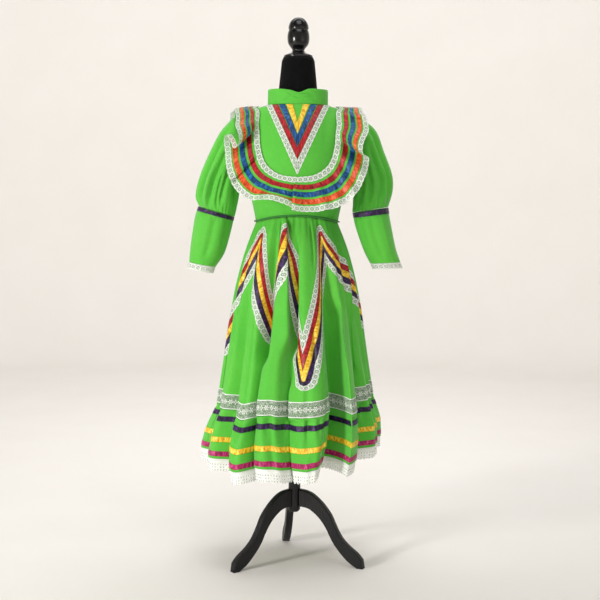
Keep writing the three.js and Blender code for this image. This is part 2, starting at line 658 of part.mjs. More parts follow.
function makeRuffle() {
  const columns = Array.from({ length: RUFFLE_COLUMNS }, (_, i) => (4 * i) / RUFFLE_COLUMNS);
  const surface = (loop, across) => ruffleSurface(loop, Math.max(0, across));
  const faceted = straightBetween(surface, RUFFLE_ROWS);
  const point = (u, v, out) => movedOut(surface, u, v, out, STEP.loop, STEP.across);
  const lattice = (rows, out) => rows.map((v) => columns.map((u) => point(u, v, out)));
  add("ruffle", wallBetween(lattice(RUFFLE_ROWS, 0), lattice(RUFFLE_ROWS, -CLOTH), true), GREEN);
  for (const { name, from, to, material } of RUFFLE_TRIMS) {
    add(name, ribbonOn(faceted, columns, () => [from, to], true, TRIM_LIFT), material);
  }
  const lace = wallBetween(lattice(RUFFLE_LACE, 0), lattice(RUFFLE_LACE, -LACE), true);
  add("ruffle_lace_outer", lace, WHITE_LACE);
}

// Sleeves. Each row is a ring: its outer and inner point seen from the front, out from the centre
// plane, and its half depth front to back. The first ring lies on the bodice round the armhole.
const SLEEVES = {
  left: {
    side: -1,
    upper: [
      { run: 1, outX: 190, outZ: 1308, inX: 158, inZ: 1161, depth: 55 },
      { run: 2, outX: 226, outZ: 1267, inX: 162, inZ: 1145, depth: 61 },
      { run: 3, outX: 255, outZ: 1211, inX: 166, inZ: 1127, depth: 65 },
      { run: 4, outX: 283, outZ: 1145, inX: 168, inZ: 1103, depth: 66 },
      { run: 5, outX: 298, outZ: 1083, inX: 172, inZ: 1067, depth: 62 },
      { run: 6, outX: 288, outZ: 1049, inX: 183, inZ: 1019, depth: 51 },
    ],
    lower: [
      { run: 0, outX: 289, outZ: 1049, inX: 184, inZ: 1019, depth: 51 },
      { run: 1, outX: 300, outZ: 1015, inX: 191, inZ: 987, depth: 53 },
      { run: 2, outX: 311, outZ: 941, inX: 211, inZ: 915, depth: 47 },
      { run: 3, outX: 316, outZ: 881, inX: 238, inZ: 863, depth: 38 },
    ],
  },
  right: {
    side: 1,
    upper: [
      { run: 1, outX: 192, outZ: 1308, inX: 158, inZ: 1161, depth: 55 },
      { run: 2, outX: 230, outZ: 1273, inX: 162, inZ: 1145, depth: 61 },
      { run: 3, outX: 254, outZ: 1213, inX: 165, inZ: 1127, depth: 65 },
      { run: 4, outX: 278, outZ: 1149, inX: 166, inZ: 1103, depth: 66 },
      { run: 5, outX: 281, outZ: 1101, inX: 164, inZ: 1067, depth: 62 },
      { run: 6, outX: 268, outZ: 1051, inX: 163, inZ: 1035, depth: 51 },
    ],
    lower: [
      { run: 0, outX: 268, outZ: 1050.5, inX: 164, inZ: 1034.5, depth: 51 },
      { run: 1, outX: 276, outZ: 1005, inX: 172, inZ: 995, depth: 52 },
      { run: 2, outX: 292, outZ: 931, inX: 197, inZ: 925, depth: 46 },
      { run: 3, outX: 306, outZ: 881, inX: 217, inZ: 875, depth: 38 },
    ],
  },
};
const SLEEVE_COLUMNS = 18;
const SLEEVE_GATHER = 2.6; // pleats where the puff is drawn in
const SLEEVE_END = 0.02; // a run that the puff stops short of at both ends
const ARM_RING = { margin: 3, lift: 0.9 }; // the first ring, outside the armhole's edge
const SLEEVE_RIBBON = 0.42; // down the first run of the lower sleeve
const CUFF_LACE = 20;

function sleeveRing(side, { outX, outZ, inX, inZ, depth }, angle) {
  const turn = rad(angle);
  const share = (1 + Math.cos(turn)) / 2;
  return vec(side * lerp(inX, outX, share), side * depth * Math.sin(turn), lerp(inZ, outZ, share));
}

// The first ring, which follows the bodice's surface round the armhole.
function armRing(side, angle) {
  const turn = rad(angle);
  const z =
    (ARMHOLE.top + ARMHOLE.bottom) / 2 +
    ((ARMHOLE.top - ARMHOLE.bottom) / 2 + ARM_RING.margin) * Math.cos(turn);
  const y = side * (ARMHOLE.halfWidth + ARM_RING.margin) * Math.sin(turn);
  const { width, front, back } = readTable(BODICE, "z", z);
  const depth = y < 0 ? front : back;
  return vec(side * (width * Math.sqrt(1 - (y / depth) ** 2) + ARM_RING.lift), y, z);
}

function makeSleeve(name, { side, upper, lower }) {
  const columns = Array.from({ length: SLEEVE_COLUMNS }, (_, i) => (360 * i) / SLEEVE_COLUMNS);
  const upperSurface = (angle, run) => {
    if (run >= 1) return sleeveRing(side, readTable(upper, "run", run), angle);
    return armRing(side, angle).lerp(sleeveRing(side, upper[0], angle), run);
  };
  const lowerSurface = (angle, run) => sleeveRing(side, readTable(lower, "run", run), angle);
  const gather = (i) => (i % 2 ? -SLEEVE_GATHER : 0);
  const lattice = (surface, runs, out, gathered) =>
    runs.map((run) =>
      columns.map((angle, i) => {
        const pleat = run === gathered ? gather(i) : 0;
        return movedOut(surface, angle, run, out + pleat, STEP.wide, STEP.across);
      }),
    );
  const wall = (surface, runs, thickness, gathered) =>
    wallBetween(
      lattice(surface, runs, 0, gathered),
      lattice(surface, runs, -thickness, gathered),
      true,
    );
  const upperRuns = [SLEEVE_END, 1, 2, 3, 4, 5, 6 - SLEEVE_END];
  const lowerRuns = [0, SLEEVE_RIBBON, 1, 2, 3];
  add(`sleeve_${name}`, wall(upperSurface, upperRuns, CLOTH, upperRuns[6]), GREEN);
  add(`forearm_${name}`, wall(lowerSurface, lowerRuns, CLOTH), GREEN);
  const faceted = straightBetween(lowerSurface, lowerRuns);
  const ribbon = ribbonOn(faceted, columns, () => [SLEEVE_END, SLEEVE_RIBBON], true, TRIM_LIFT);
  add(`sleeve_ribbon_${name}`, ribbon, PURPLE);
  const end = lower[lower.length - 1];
  const before = lower[lower.length - 2];
  const acrossX = (row) => (row.outX + row.inX) / 2;
  const upZ = (row) => (row.outZ + row.inZ) / 2;
  const along = vec(acrossX(end) - acrossX(before), 0, upZ(end) - upZ(before)).normalize();
  const lace = (angle, drop) => {
    const point = sleeveRing(side, end, angle);
    return point.add(vec(side * along.x * drop, 0, along.z * drop));
  };
  const laceRows = [2 * SEAM_GAP, CUFF_LACE];
  add(`cuff_lace_${name}`, wall(lace, laceRows, LACE), WHITE_LACE);
}

makeForm();
for (const [name, turn] of Object.entries(LEG_TURNS)) makeLeg(name, turn);
makeBodice();
makeCollar();
makePiping();
makeYoke();
makeRuffle();
for (const [name, sleeve] of Object.entries(SLEEVES)) makeSleeve(name, sleeve);
makeSkirt();
makeFlounce();

export default group;
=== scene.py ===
# %% [markdown]
# # A folklorico dress on a dress form
# The dress is bright green cotton with satin ribbons and white lace, and it stands on a black dress
# form with a turned finial and a wooden tripod. The imported part gives the frame: every piece below is
# made in the same place, in finer cloth.

# %% Frame
import math

import bmesh
import bpy
import numpy as np
from mathutils import Matrix


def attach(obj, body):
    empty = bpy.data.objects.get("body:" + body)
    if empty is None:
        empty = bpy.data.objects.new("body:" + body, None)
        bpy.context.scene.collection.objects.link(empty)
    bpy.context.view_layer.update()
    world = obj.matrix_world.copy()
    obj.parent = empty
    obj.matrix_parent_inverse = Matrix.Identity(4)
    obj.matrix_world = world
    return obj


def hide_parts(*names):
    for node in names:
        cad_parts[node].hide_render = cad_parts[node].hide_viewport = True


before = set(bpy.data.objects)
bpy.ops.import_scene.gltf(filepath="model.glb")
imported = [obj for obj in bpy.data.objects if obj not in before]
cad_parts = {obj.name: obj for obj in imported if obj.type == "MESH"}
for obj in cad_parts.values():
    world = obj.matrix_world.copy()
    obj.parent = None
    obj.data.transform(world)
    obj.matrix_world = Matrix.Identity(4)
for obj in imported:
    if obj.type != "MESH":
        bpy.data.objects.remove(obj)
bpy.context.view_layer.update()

# %% [markdown]
# ## Camera
# The photo was taken from a little over waist height, with the dress form in the middle. The camera
# stands 3.6 m away and looks slightly down. A small shift of the lens lowers the picture without
# turning the camera further. The angles below are in degrees.

# %% Camera
CAMERA_PLACE = (0.0012, -3.594, 1.058)
CAMERA_DOWN = 2.807
CAMERA_RIGHT = 0.149
CAMERA_ROLL = 0.527
VIEW_ANGLE = 27.6
SHIFT_UP = -0.06

camera_data = bpy.data.cameras.new("camera")
camera_data.angle = math.radians(VIEW_ANGLE)
camera_data.shift_y = SHIFT_UP
camera = bpy.data.objects.new("camera", camera_data)
bpy.context.scene.collection.objects.link(camera)
camera.matrix_world = (
    Matrix.Translation(CAMERA_PLACE)
    @ Matrix.Rotation(math.radians(-CAMERA_RIGHT), 4, "Z")
    @ Matrix.Rotation(math.radians(90 - CAMERA_DOWN), 4, "X")
    @ Matrix.Rotation(math.radians(CAMERA_ROLL), 4, "Z")
)
bpy.context.scene.camera = camera
print("camera at", CAMERA_PLACE)

# %% [markdown]
# ## Shapes as functions
# Cloth is easiest to describe as a surface: a function of u, round the body, and v, downwards. The
# tables below hold half widths and depths in millimetres, and `read` runs a smooth curve through a
# table's rows. The lengths turn into metres when a mesh is made.

# %% Tables and surfaces
MM = 0.001


def table(names, *rows):
    """Named columns, from a line of names and the rows below them."""
    return dict(zip(names.split(), np.array(rows, float).T))


def read(rows, key, value):
    """The table's other columns at a value of its key column, on a smooth curve through the rows."""
    keys = rows[key]
    value = np.asarray(value, float)
    start = np.searchsorted(keys[1:-1], value)
    span = keys[start + 1] - keys[start]
    t = np.clip((value - keys[start]) / span, 0, 1)
    before, after = np.maximum(start - 1, 0), np.minimum(start + 2, len(keys) - 1)
    found = {}
    for name, column in rows.items():
        low, high = column[start], column[start + 1]
        slope_in = (high - column[before]) / (keys[start + 1] - keys[before])
        slope_out = (column[after] - low) / (keys[after] - keys[start])
        found[name] = (
            low * (1 + 2 * t) * (1 - t) ** 2
            + high * t * t * (3 - 2 * t)
            + span * (slope_in * t * (1 - t) ** 2 - slope_out * t * t * (1 - t))
        )
    return found


def mix(low, high, share):
    """The value a share of the way from low to high."""
    return low + (high - low) * share


def smooth(value, start=0.0, end=1.0):
    """0 before the start, 1 after the end, and a soft step between."""
    t = np.clip((value - start) / (end - start), 0, 1)
    return t * t * (3 - 2 * t)


def point(x, y, z):
    return np.stack(np.broadcast_arrays(x, y, z), axis=-1).astype(float)


def on_oval(oval, angle, z):
    """Points on an oval round the upright axis. Angle 0 faces the front."""
    turn = np.radians(angle)
    depth = np.where(np.cos(turn) > 0, oval["front"], oval["back"])
    return point(oval["width"] * np.sin(turn), -depth * np.cos(turn), z)


def moved_out(surface, u, v, out, step_u=0.05, step_v=0.002):
    """The surface's points, moved out along its normal, which small steps in u and v find."""
    across = surface(u + step_u, v) - surface(u - step_u, v)
    down = surface(u, v + step_v) - surface(u, v - step_v)
    normal = np.cross(down, across)
    normal /= np.maximum(np.linalg.norm(normal, axis=-1, keepdims=True), 1e-9)
    return surface(u, v) + normal * np.asarray(out)[..., None]


def angle_gap(angle, at):
    """The way from one angle to another, between -180 and 180 degrees."""
    return (angle - at + 180) % 360 - 180


def hump(gap, width):
    """1 in the middle, falling off smoothly at both sides."""
    return np.exp(-((gap / width) ** 2))


def lap(side):
    """The push of a fold that is laid over: -1 at one side of it, 0 on its line, 1 at the other."""
    return side * np.exp(0.5 * (1 - side * side))


def creases(u, v, rows):
    """Soft troughs, given one by one: each runs from one u, v to another, with its width in u and its
    depth.
    """
    total = np.zeros(np.broadcast(u, v).shape)
    for from_u, from_v, to_u, to_v, width, depth in rows:
        t = (v - from_v) / (to_v - from_v)
        gap = angle_gap(u, mix(from_u, to_u, np.clip(t, 0, 1)))
        total -= depth * hump(gap, width) * smooth(t, 0, 0.3) * smooth(1 - t, 0, 0.3)
    return total


print("a table read halfway:", read(table("a b", (0, 0), (1, 2), (2, 3)), "a", 0.5)["b"])

# %% [markdown]
# ## From a surface to a mesh
# A grid of cells starts flat, and each corner then moves to its point on the surface, as a cloth is
# laid over a form. The UV map keeps the flat cloth's own lengths, so weave, stitches and lace follow
# it round every fold. On a trim the map counts repeats along it and runs from 0 to 1 across it.

# %% Grid helper
def grid_piece(name, surface, us, vs, ring=False, repeat=None):
    """Lays a grid on a surface. A ring's ends are joined; repeat is a pattern's length in metres."""
    us, vs = np.asarray(us, float), np.asarray(vs, float)
    points = surface(*np.meshgrid(us, vs)) * MM
    steps = np.linalg.norm(np.diff(points, axis=1), axis=2)
    drops = np.linalg.norm(np.diff(points, axis=0), axis=2)
    along = np.concatenate([[0], np.cumsum(steps.mean(axis=0))])
    across = np.concatenate([[0], np.cumsum(drops.mean(axis=1))])
    size = along[-1], across[-1]
    if repeat:
        along *= max(1, round(along[-1] / repeat)) / along[-1]
        across /= across[-1]
    bm = bmesh.new()
    bmesh.ops.create_grid(bm, x_segments=len(us) - 1, y_segments=len(vs) - 1, size=1)
    flat = bm.loops.layers.uv.new("flat")
    cell = {}
    for vert in bm.verts:
        column = round((vert.co.x + 1) / 2 * (len(us) - 1))
        row = round((1 - vert.co.y) / 2 * (len(vs) - 1))
        cell[vert] = column, row
    for face in bm.faces:
        face.smooth = True
        for loop in face.loops:
            column, row = cell[loop.vert]
            loop[flat].uv = along[column], across[row]
    for vert, (column, row) in cell.items():
        vert.co = points[row, column]
    if ring:
        bmesh.ops.remove_doubles(bm, verts=bm.verts, dist=1e-5)
    return made(name, bm, size)


def made(name, bm, size=None):
    """Makes an object of the corners and faces, and prints what it measures."""
    mesh = bpy.data.meshes.new(name)
    bm.to_mesh(mesh)
    bm.free()
    piece = bpy.data.objects.new(name, mesh)
    bpy.context.scene.collection.objects.link(piece)
    area = sum(face.area for face in mesh.polygons)
    length = f", {size[0]:.3f} x {size[1]:.3f} m" if size else ""
    print(f"{name}: {len(mesh.polygons)} faces, {area:.4f} m2{length}")
    return piece


def dress_up(piece, finish, node, wall=None):
    """Gives a piece its finish, its wall and its place in the frame."""
    piece.data.materials.append(finish)
    if wall:
        shell = piece.modifiers.new("wall", "SOLIDIFY")
        shell.thickness = wall
        shell.offset = -1
    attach(piece, "root")
    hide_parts(node)


# %% [markdown]
# ## Shader sums
# Patterns such as lace or a weave are sums on the UV map. The class below lets a material's socket be
# written in a sum like a number, and each sign adds the Math node that does it.

# %% Shader helper
class Value:
    """A socket of a material that can stand in a sum."""

    def __init__(self, tree, socket):
        self.tree, self.socket = tree, socket

    def maths(self, operation, *others):
        sum_node = self.tree.nodes.new("ShaderNodeMath")
        sum_node.operation = operation
        for socket, value in zip(sum_node.inputs, (self, *others)):
            feed(self.tree, socket, value)
        return Value(self.tree, sum_node.outputs[0])

    def __add__(self, other):
        return self.maths("ADD", other)

    def __sub__(self, other):
        return self.maths("SUBTRACT", other)

    def __mul__(self, other):
        return self.maths("MULTIPLY", other)

    def __gt__(self, other):
        return self.maths("GREATER_THAN", other)

    def __lt__(self, other):
        return self.maths("LESS_THAN", other)

    def __rsub__(self, other):
        return self * -1 + other

    __radd__ = __add__

    def sine(self):
        return self.maths("SINE")

    def size(self):
        return self.maths("ABSOLUTE")

    def root(self):
        return self.maths("SQRT")

    def cycle(self):
        """The share of the way through each whole step."""
        return self.maths("FRACT")

    def limit(self):
        """The value, kept between 0 and 1."""
        return self.maths("MAXIMUM", 0.0).maths("MINIMUM", 1.0)

    def larger(self, other):
        return self.maths("MAXIMUM", other)


def feed(tree, socket, value):
    """Links a socket to a value, or sets it to a plain number."""
    if isinstance(value, Value):
        tree.links.new(value.socket, socket)
    else:
        socket.default_value = value


def colour(code):
    """A web colour as Blender's linear one."""
    shares = [int(code[i : i + 2], 16) / 255 for i in (0, 2, 4)]
    return [s / 12.92 if s < 0.04045 else ((s + 0.055) / 1.055) ** 2.4 for s in shares] + [1]


class Finish:
    """A material under construction."""

    def __init__(self, name):
        self.material = bpy.data.materials.new(name)
        self.material.use_nodes = True
        self.tree = self.material.node_tree
        self.shader = self.tree.nodes["Principled BSDF"]

    def node(self, kind, settings=None, output=0, **sockets):
        added = self.tree.nodes.new(kind)
        for name, value in (settings or {}).items():
            setattr(added, name, value)
        for name, value in sockets.items():
            feed(self.tree, added.inputs[name], value)
        return Value(self.tree, added.outputs[output])

    def flat(self):
        """The cloth's own flat coordinates, as two values."""
        place = self.node("ShaderNodeUVMap", {"uv_map": "flat"})
        split = self.tree.nodes.new("ShaderNodeSeparateXYZ")
        self.tree.links.new(place.socket, split.inputs[0])
        return Value(self.tree, split.outputs[0]), Value(self.tree, split.outputs[1])

    def vector(self, x=0.0, y=0.0, z=0.0):
        return self.node("ShaderNodeCombineXYZ", X=x, Y=y, Z=z)

    def noise(self, where, scale, detail, roughness=0.5):
        return self.node(
            "ShaderNodeTexNoise", Vector=where, Scale=scale, Detail=detail, Roughness=roughness
        )

    def object_place(self):
        return self.node("ShaderNodeTexCoord", output="Object")

    def blend(self, share, low, high):
        """A colour between two colours."""
        mixed = self.tree.nodes.new("ShaderNodeMix")
        mixed.data_type = "RGBA"
        feed(self.tree, mixed.inputs["Factor"], share)
        for entry, value in zip([s for s in mixed.inputs if s.type == "RGBA"], (low, high)):
            feed(self.tree, entry, value)
        return Value(self.tree, next(s for s in mixed.outputs if s.type == "RGBA"))

    def relief(self, height, distance, strength):
        return self.node("ShaderNodeBump", Height=height, Distance=distance, Strength=strength)

    def done(self, **sockets):
        for name, value in sockets.items():
            feed(self.tree, self.shader.inputs[name.replace("_", " ")], value)
        return self.material


# %% [markdown]
# ## Green cotton
# Folklorico skirts are made of a light plain-weave cotton blend. It has a soft sheen, threads half a
# millimetre apart, and a slight unevenness of colour, yellower where the light comes through. The
# threads are two crossed waves on the flat map, which keep their size on every fold.

# %% Green cotton
THREADS = 1900  # threads a metre


def green_cotton():
    finish = Finish("green_cloth")
    along, across = finish.flat()
    place = finish.object_place()
    broad = finish.noise(place, 7.0, 3.0)
    fine = finish.noise(place, 90.0, 3.0, 0.6)
    slub = finish.noise(finish.vector(along * 40, across * 900), 1.0, 2.0)
    warp = (along * (THREADS * math.pi)).sine().size()
    weft = (across * (THREADS * math.pi)).sine().size()
    weave = warp.larger(weft)
    tone = (broad * 0.55 + fine * 0.25 + slub * 0.2).limit()
    base = finish.blend(tone, colour("35b026"), colour("74d84c"))
    base = finish.blend((weave * 0.16).limit(), base, colour("2a8c1e"))
    rumple = finish.noise(place, 26.0, 4.0, 0.55)
    height = weave * 0.35 + slub * 0.5 + rumple * 4.0
    return finish.done(
        Base_Color=base,
        Roughness=(0.62 + fine * 0.16).limit(),
        Sheen_Weight=0.25,
        Sheen_Roughness=0.45,
        Specular_IOR_Level=0.35,
        Normal=finish.relief(height, 0.0006, 0.55),
    )


GREEN = green_cotton()
print("finish", GREEN.name)

# %% [markdown]
# ## Satin ribbon
# Satin ribbon is 15 mm wide, glossy, and a little crinkled where it is sewn on. Its sewn edges
# pucker, and a row of stitches runs along each. The crinkles are noise drawn out across the ribbon.
# Where it bunches, painted shade and painted highlight cross it in bands, most of all on the gold one,
# which also has painted glints.

# %% Satin ribbon
def satin(name, *tones, crinkle=1.0, painted_glints=0.0):
    """Ribbon in three tones: painted shade in its creases, its colour in plain light, and a painted
    highlight where it shines.
    """
    finish = Finish(name)
    dark, plain, bright = (colour(tone) for tone in tones)
    along, across = finish.flat()
    fold = finish.noise(finish.vector(along * 2.3, across * 0.9), 1.0, 3.0, 0.6)
    pucker = finish.noise(finish.vector(along * 7.0, across * 1.6), 1.0, 3.0, 0.65)
    edge = (across - 0.5).size() * 2
    near_edge = ((edge - 0.72) * 4).limit()
    stitch_row = 1 - ((edge - 0.84).size() * 26).limit()
    stitch = stitch_row * ((along * 5.5).cycle() < 0.68)
    # band places the painted shade in the creases and the painted highlight on the crinkles' crests.
    band = ((fold - 0.5) * 2.4 * crinkle + 0.5 + (pucker - 0.5) * 0.9 * crinkle).limit()
    base = finish.blend((band * 2).limit(), dark, plain)
    base = finish.blend((band * 2 - 1).limit(), base, bright)
    # Pale gold spots of painted glint, where light would catch the yellow satin.
    if painted_glints:
        glint_spots = finish.node(
            "ShaderNodeTexVoronoi", Vector=finish.vector(along * 9, across * 7), Scale=1.0
        )
        base = finish.blend(((0.34 - glint_spots) * 4 * painted_glints).limit(), base, colour("fff27a"))
    base = finish.blend(stitch * 0.5, base, dark)
    height = fold * 2.2 * crinkle + pucker * (0.5 + near_edge * 0.8) - stitch * 0.5
    return finish.done(
        Base_Color=base,
        Roughness=(0.26 + pucker * 0.22).limit(),
        Specular_IOR_Level=0.4,
        Sheen_Weight=0.03,
        Sheen_Roughness=0.3,
        Normal=finish.relief(height, 0.0012, 0.85),
    )


RED = satin("red_satin", "4e040a", "a80e1e", "dc2a32")
BLUE = satin("blue_satin", "04203f", "0a4686", "2380c4", crinkle=1.2)
YELLOW = satin("yellow_satin", "c07a0a", "f8c81c", "fff06a", crinkle=1.2, painted_glints=0.9)
ORANGE = satin("orange_satin", "9c2a0c", "e2501c", "ff8450")
PURPLE = satin("purple_satin", "08050f", "220e38", "5a2a80", crinkle=1.2)
MAGENTA = satin("magenta_satin", "5e0830", "b0175f", "e855a0")
print("finishes", [m.name for m in (RED, BLUE, YELLOW, ORANGE, PURPLE, MAGENTA)])

# %% [markdown]
# ## Lace
# The narrow lace is a white net with a row of worked rings, one to a scallop, between two firm
# borders. The Alpha socket is low in its holes, so the green cotton shows through them. The wide lace
# has flowers, leaves and scrolls, which are contour lines of noise. The hem's lace is nearly solid.

# %% Lace
# The net between the white cords is painted grey-green: painted shade for what lies in the lace's holes.
NET_HOLE_SHADE = colour("86a283")
LACE_WHITE = colour("ffffff"), colour("dfe6da")


def polar(along, across, wide):
    """Distance and angle from the middle of each repeat. wide is the lace's width in repeats."""
    x = along.cycle() - 0.5
    y = (across - 0.5) * wide
    return (x * x + y * y).root(), y.maths("ARCTAN2", x)


def band(distance, radius, half, sharp=14):
    """1 on a ring of a radius, falling off over half its width."""
    return ((half - (distance - radius).size()) * sharp + 0.5).limit()


def scallops(along, across, depth, count=1, both=True):
    """0 beyond a scalloped edge: at both sides, or at the far one alone."""
    wave = (along * (count * math.pi)).sine().size()
    reach = (across - 0.5).size() if both else across - 0.5
    return ((0.5 - depth + wave * depth - reach) * 40).limit()


def lace_finish(finish, worked, cover):
    """worked is 1 on the white cords, cover is how much of the cloth behind the lace hides."""
    grain = finish.noise(finish.object_place(), 240.0, 3.0, 0.6)
    white = finish.blend(grain, *LACE_WHITE)
    return finish.done(
        # Where there are no cords, the colour is the painted shade of the holes.
        Base_Color=finish.blend(worked.limit(), NET_HOLE_SHADE, white),
        Roughness=0.85,
        Sheen_Weight=0.1,
        Alpha=cover.limit(),
        Normal=finish.relief(worked * 2 + grain, 0.0006, 0.8),
    )


def ring_lace(wide=1.33):
    finish = Finish("white_lace_rings")
    along, across = finish.flat()
    distance, _ = polar(along, across, wide)
    beside, _ = polar(along + 0.5, across, wide)
    edge = (across - 0.5).size()
    cords = ((along * 44).sine() * (across * 44 * wide).sine()).size() > 0.35
    border = ((edge - 0.4) * 40).limit()
    hole = band(distance, 0.27, 0.055)
    eye = band(distance, 0.0, 0.06)
    gaps = ((edge - 0.25) * 30).limit() * band(beside, 0.36, 0.05)
    solid = (1 - hole - eye - gaps).limit().larger(border)
    worked = solid * (0.86 + cords * 0.14)
    cover = (solid * 0.93).larger(0.3) * scallops(along, across, 0.07)
    return lace_finish(finish, worked, cover)


def leaf_lace(wide=1.45):
    finish = Finish("white_lace_leaves")
    along, across = finish.flat()
    distance, turn = polar(along, across, wide)
    petals = (turn * 6).maths("COSINE") * 0.3 + 1
    beside, beside_turn = polar(along + 0.5, across * 0.86 + 0.07, wide)
    leaves = (beside_turn * 4).maths("COSINE") * 0.4 + 1
    flower = ((petals * 0.21 - distance) * 40).limit() * (1 - band(distance, 0.085, 0.02, 40))
    leaf = ((leaves * 0.16 - beside) * 40).limit() * (1 - band(beside, 0.06, 0.025, 40))
    wander = finish.noise(finish.vector(along * 6, across * 6 * wide, 3.0), 1.0, 2.0)
    scroll = band(wander, 0.48, 0.03, 50).larger(band(wander, 0.63, 0.03, 50))
    border = (((across - 0.5).size() - 0.43) * 60).limit()
    worked = flower.larger(leaf).larger(scroll * 0.9).larger(border)
    return lace_finish(finish, worked, worked.larger(0.62))


def hem_lace_finish(wide=1.7):
    finish = Finish("white_lace_hem")
    along, across = finish.flat()
    distance, _ = polar(along * 3, (across * 5).cycle(), 1.0)
    low = ((across - 0.38) * 12).limit()
    sprig, turn = polar(along, across * 0.9 - 0.1, wide)
    petals = (turn * 5).maths("COSINE") * 0.3 + 1
    flower = ((petals * 0.2 - sprig) * 30).limit()
    holes = (band(distance, 0.0, 0.26) * low * (1 - flower)).limit()
    worked = 1 - holes * 0.5
    cover = (1 - holes * 0.45) * scallops(along, across, 0.09, 2, both=False)
    return lace_finish(finish, worked, cover)


RING_LACE = ring_lace()
LEAF_LACE = leaf_lace()
HEM_LACE = hem_lace_finish()
print("laces", RING_LACE.name, LEAF_LACE.name, HEM_LACE.name)

# %% [markdown]
# ## Black finishes and cord
# The form wears knitted jersey, which takes the light only at its edges. The finial is lacquered and
# shines, and the stand is stained wood with a faint grain. The waist cord is the darker green.

# %% Jersey, lacquer, wood and cord
def jersey():
    finish = Finish("black_jersey")
    place = finish.object_place()
    rib = finish.node(
        "ShaderNodeTexWave",
        {"bands_direction": "Z"},
        Vector=place,
        Scale=260.0,
        Distortion=1.5,
        Detail=1.0,
    )
    fluff = finish.noise(place, 300.0, 3.0)
    base = finish.blend(fluff, colour("020203"), colour("0a0a0b"))
    return finish.done(
        Base_Color=base,
        Roughness=0.95,
        Sheen_Weight=0.02,
        Specular_IOR_Level=0.15,
        Normal=finish.relief(rib + fluff, 0.0003, 0.6),
    )


def lacquer():
    finish = Finish("black_lacquer")
    place = finish.object_place()
    rub = finish.noise(place, 60.0, 4.0, 0.6)
    base = finish.blend(rub, colour("020203"), colour("0b0b0c"))
    return finish.done(
        Base_Color=base,
        Roughness=(0.16 + rub * 0.16).limit(),
        Specular_IOR_Level=0.3,
        Coat_Weight=0.35,
        Coat_Roughness=0.12,
        Normal=finish.relief(rub, 0.0002, 0.3),
    )


def black_wood():
    finish = Finish("black_wood")
    place = finish.object_place()
    grain = finish.node(
        "ShaderNodeTexWave",
        {"bands_direction": "X"},
        Vector=place,
        Scale=30.0,
        Distortion=9.0,
        Detail=3.0,
        **{"Detail Scale": 2.0},
    )
    worn = finish.noise(place, 18.0, 5.0, 0.65)
    base = finish.blend(grain * 0.5 + worn * 0.4, colour("050506"), colour("19191c"))
    return finish.done(
        Base_Color=base,
        Roughness=(0.34 + worn * 0.25).limit(),
        Specular_IOR_Level=0.35,
        Normal=finish.relief(grain + worn, 0.0003, 0.5),
    )


def waist_cord():
    finish = Finish("piping_cloth")
    along, across = finish.flat()
    twist = ((along * 260 + across * 60) * math.pi).sine().size()
    base = finish.blend(twist, colour("155a1b"), colour("2c8a2c"))
    return finish.done(
        Base_Color=base,
        Roughness=0.7,
        Sheen_Weight=0.2,
        Normal=finish.relief(twist, 0.0005, 0.8),
    )


JERSEY = jersey()
LACQUER = lacquer()
WOOD = black_wood()
CORD = waist_cord()
print("finishes", JERSEY.name, LACQUER.name, WOOD.name, CORD.name)

# %% [markdown]
# ## The dress form
# The form is a padded body without limbs, and only its neck shows above the collar. Its rings come
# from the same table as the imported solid. The neck block is closed at the top, under the finial.

# %% Dress form
FORM = table(
    "z width front back",
    (790, 134, 104, 102), (860, 138, 106, 104), (940, 126, 94, 94), (1010, 111, 78, 77),
    (1055, 119, 88, 81), (1110, 134, 110, 89), (1160, 140, 121, 94), (1205, 143, 118, 97),
    (1255, 146, 102, 93), (1293, 148, 85, 84), (1317, 145, 73, 75), (1335, 118.6, 64, 68),
    (1350, 78, 57, 60), (1360, 60, 55, 57), (1395, 56, 56, 56), (1475, 48, 48, 48),
    (1486, 43, 43, 43),
)
FORM_COLUMNS = 96
FORM_ROWS = 60


def form_surface(angle, down):
    """Straight between the rings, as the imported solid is."""
    oval = {name: np.interp(-down, FORM["z"], FORM[name]) for name in ("width", "front", "back")}
    return on_oval(oval, angle, -down)


def close_ends(piece):
    """Fills the open rings at a piece's top and bottom."""
    bm = bmesh.new()
    bm.from_mesh(piece.data)
    ends = [edge for edge in bm.edges if edge.is_boundary]
    bmesh.ops.holes_fill(bm, edges=ends, sides=0)
    bmesh.ops.recalc_face_normals(bm, faces=bm.faces)
    bm.to_mesh(piece.data)
    bm.free()


even_heights = np.linspace(FORM["z"][0], FORM["z"][-1], FORM_ROWS)
form_heights = np.unique(np.concatenate([FORM["z"], even_heights]))[::-1]
form_body = grid_piece(
    "form_body", form_surface, np.linspace(0, 360, FORM_COLUMNS + 1), -form_heights, ring=True
)
close_ends(form_body)
dress_up(form_body, JERSEY, "form_torso")

# %% [markdown]
# ## Finial, pole and hub
# These are turned on a lathe, so each is a profile spun once round. The finial has a flat dish, a
# narrow waist, an egg with a groove near its top, and a rounded cap.

# %% Turned pieces
SPIN_STEPS = 72
TURNED_WELD = 2e-5  # metres


def curved(rows, steps):
    """A smooth line of points through rows of radius and height, evenly spaced between them."""
    at = np.arange(len(rows), dtype=float)
    r, z = np.array(rows, float).T
    line = read({"at": at, "r": r, "z": z}, "at", np.linspace(0, len(rows) - 1, steps))
    return list(zip(line["r"], line["z"]))


def spun(name, profile, weld):
    """Spins a profile in metres once round and welds points nearer than a distance."""
    bm = bmesh.new()
    verts = [bm.verts.new((r, 0, z)) for r, z in profile]
    edges = [bm.edges.new(pair) for pair in zip(verts, verts[1:])]
    bmesh.ops.spin(
        bm, geom=verts + edges, cent=(0, 0, 0), axis=(0, 0, 1), angle=2 * math.pi,
        steps=SPIN_STEPS, use_merge=True,
    )
    bmesh.ops.remove_doubles(bm, verts=bm.verts, dist=weld)
    bmesh.ops.recalc_face_normals(bm, faces=bm.faces)
    for face in bm.faces:
        face.smooth = True
    return made(name, bm)


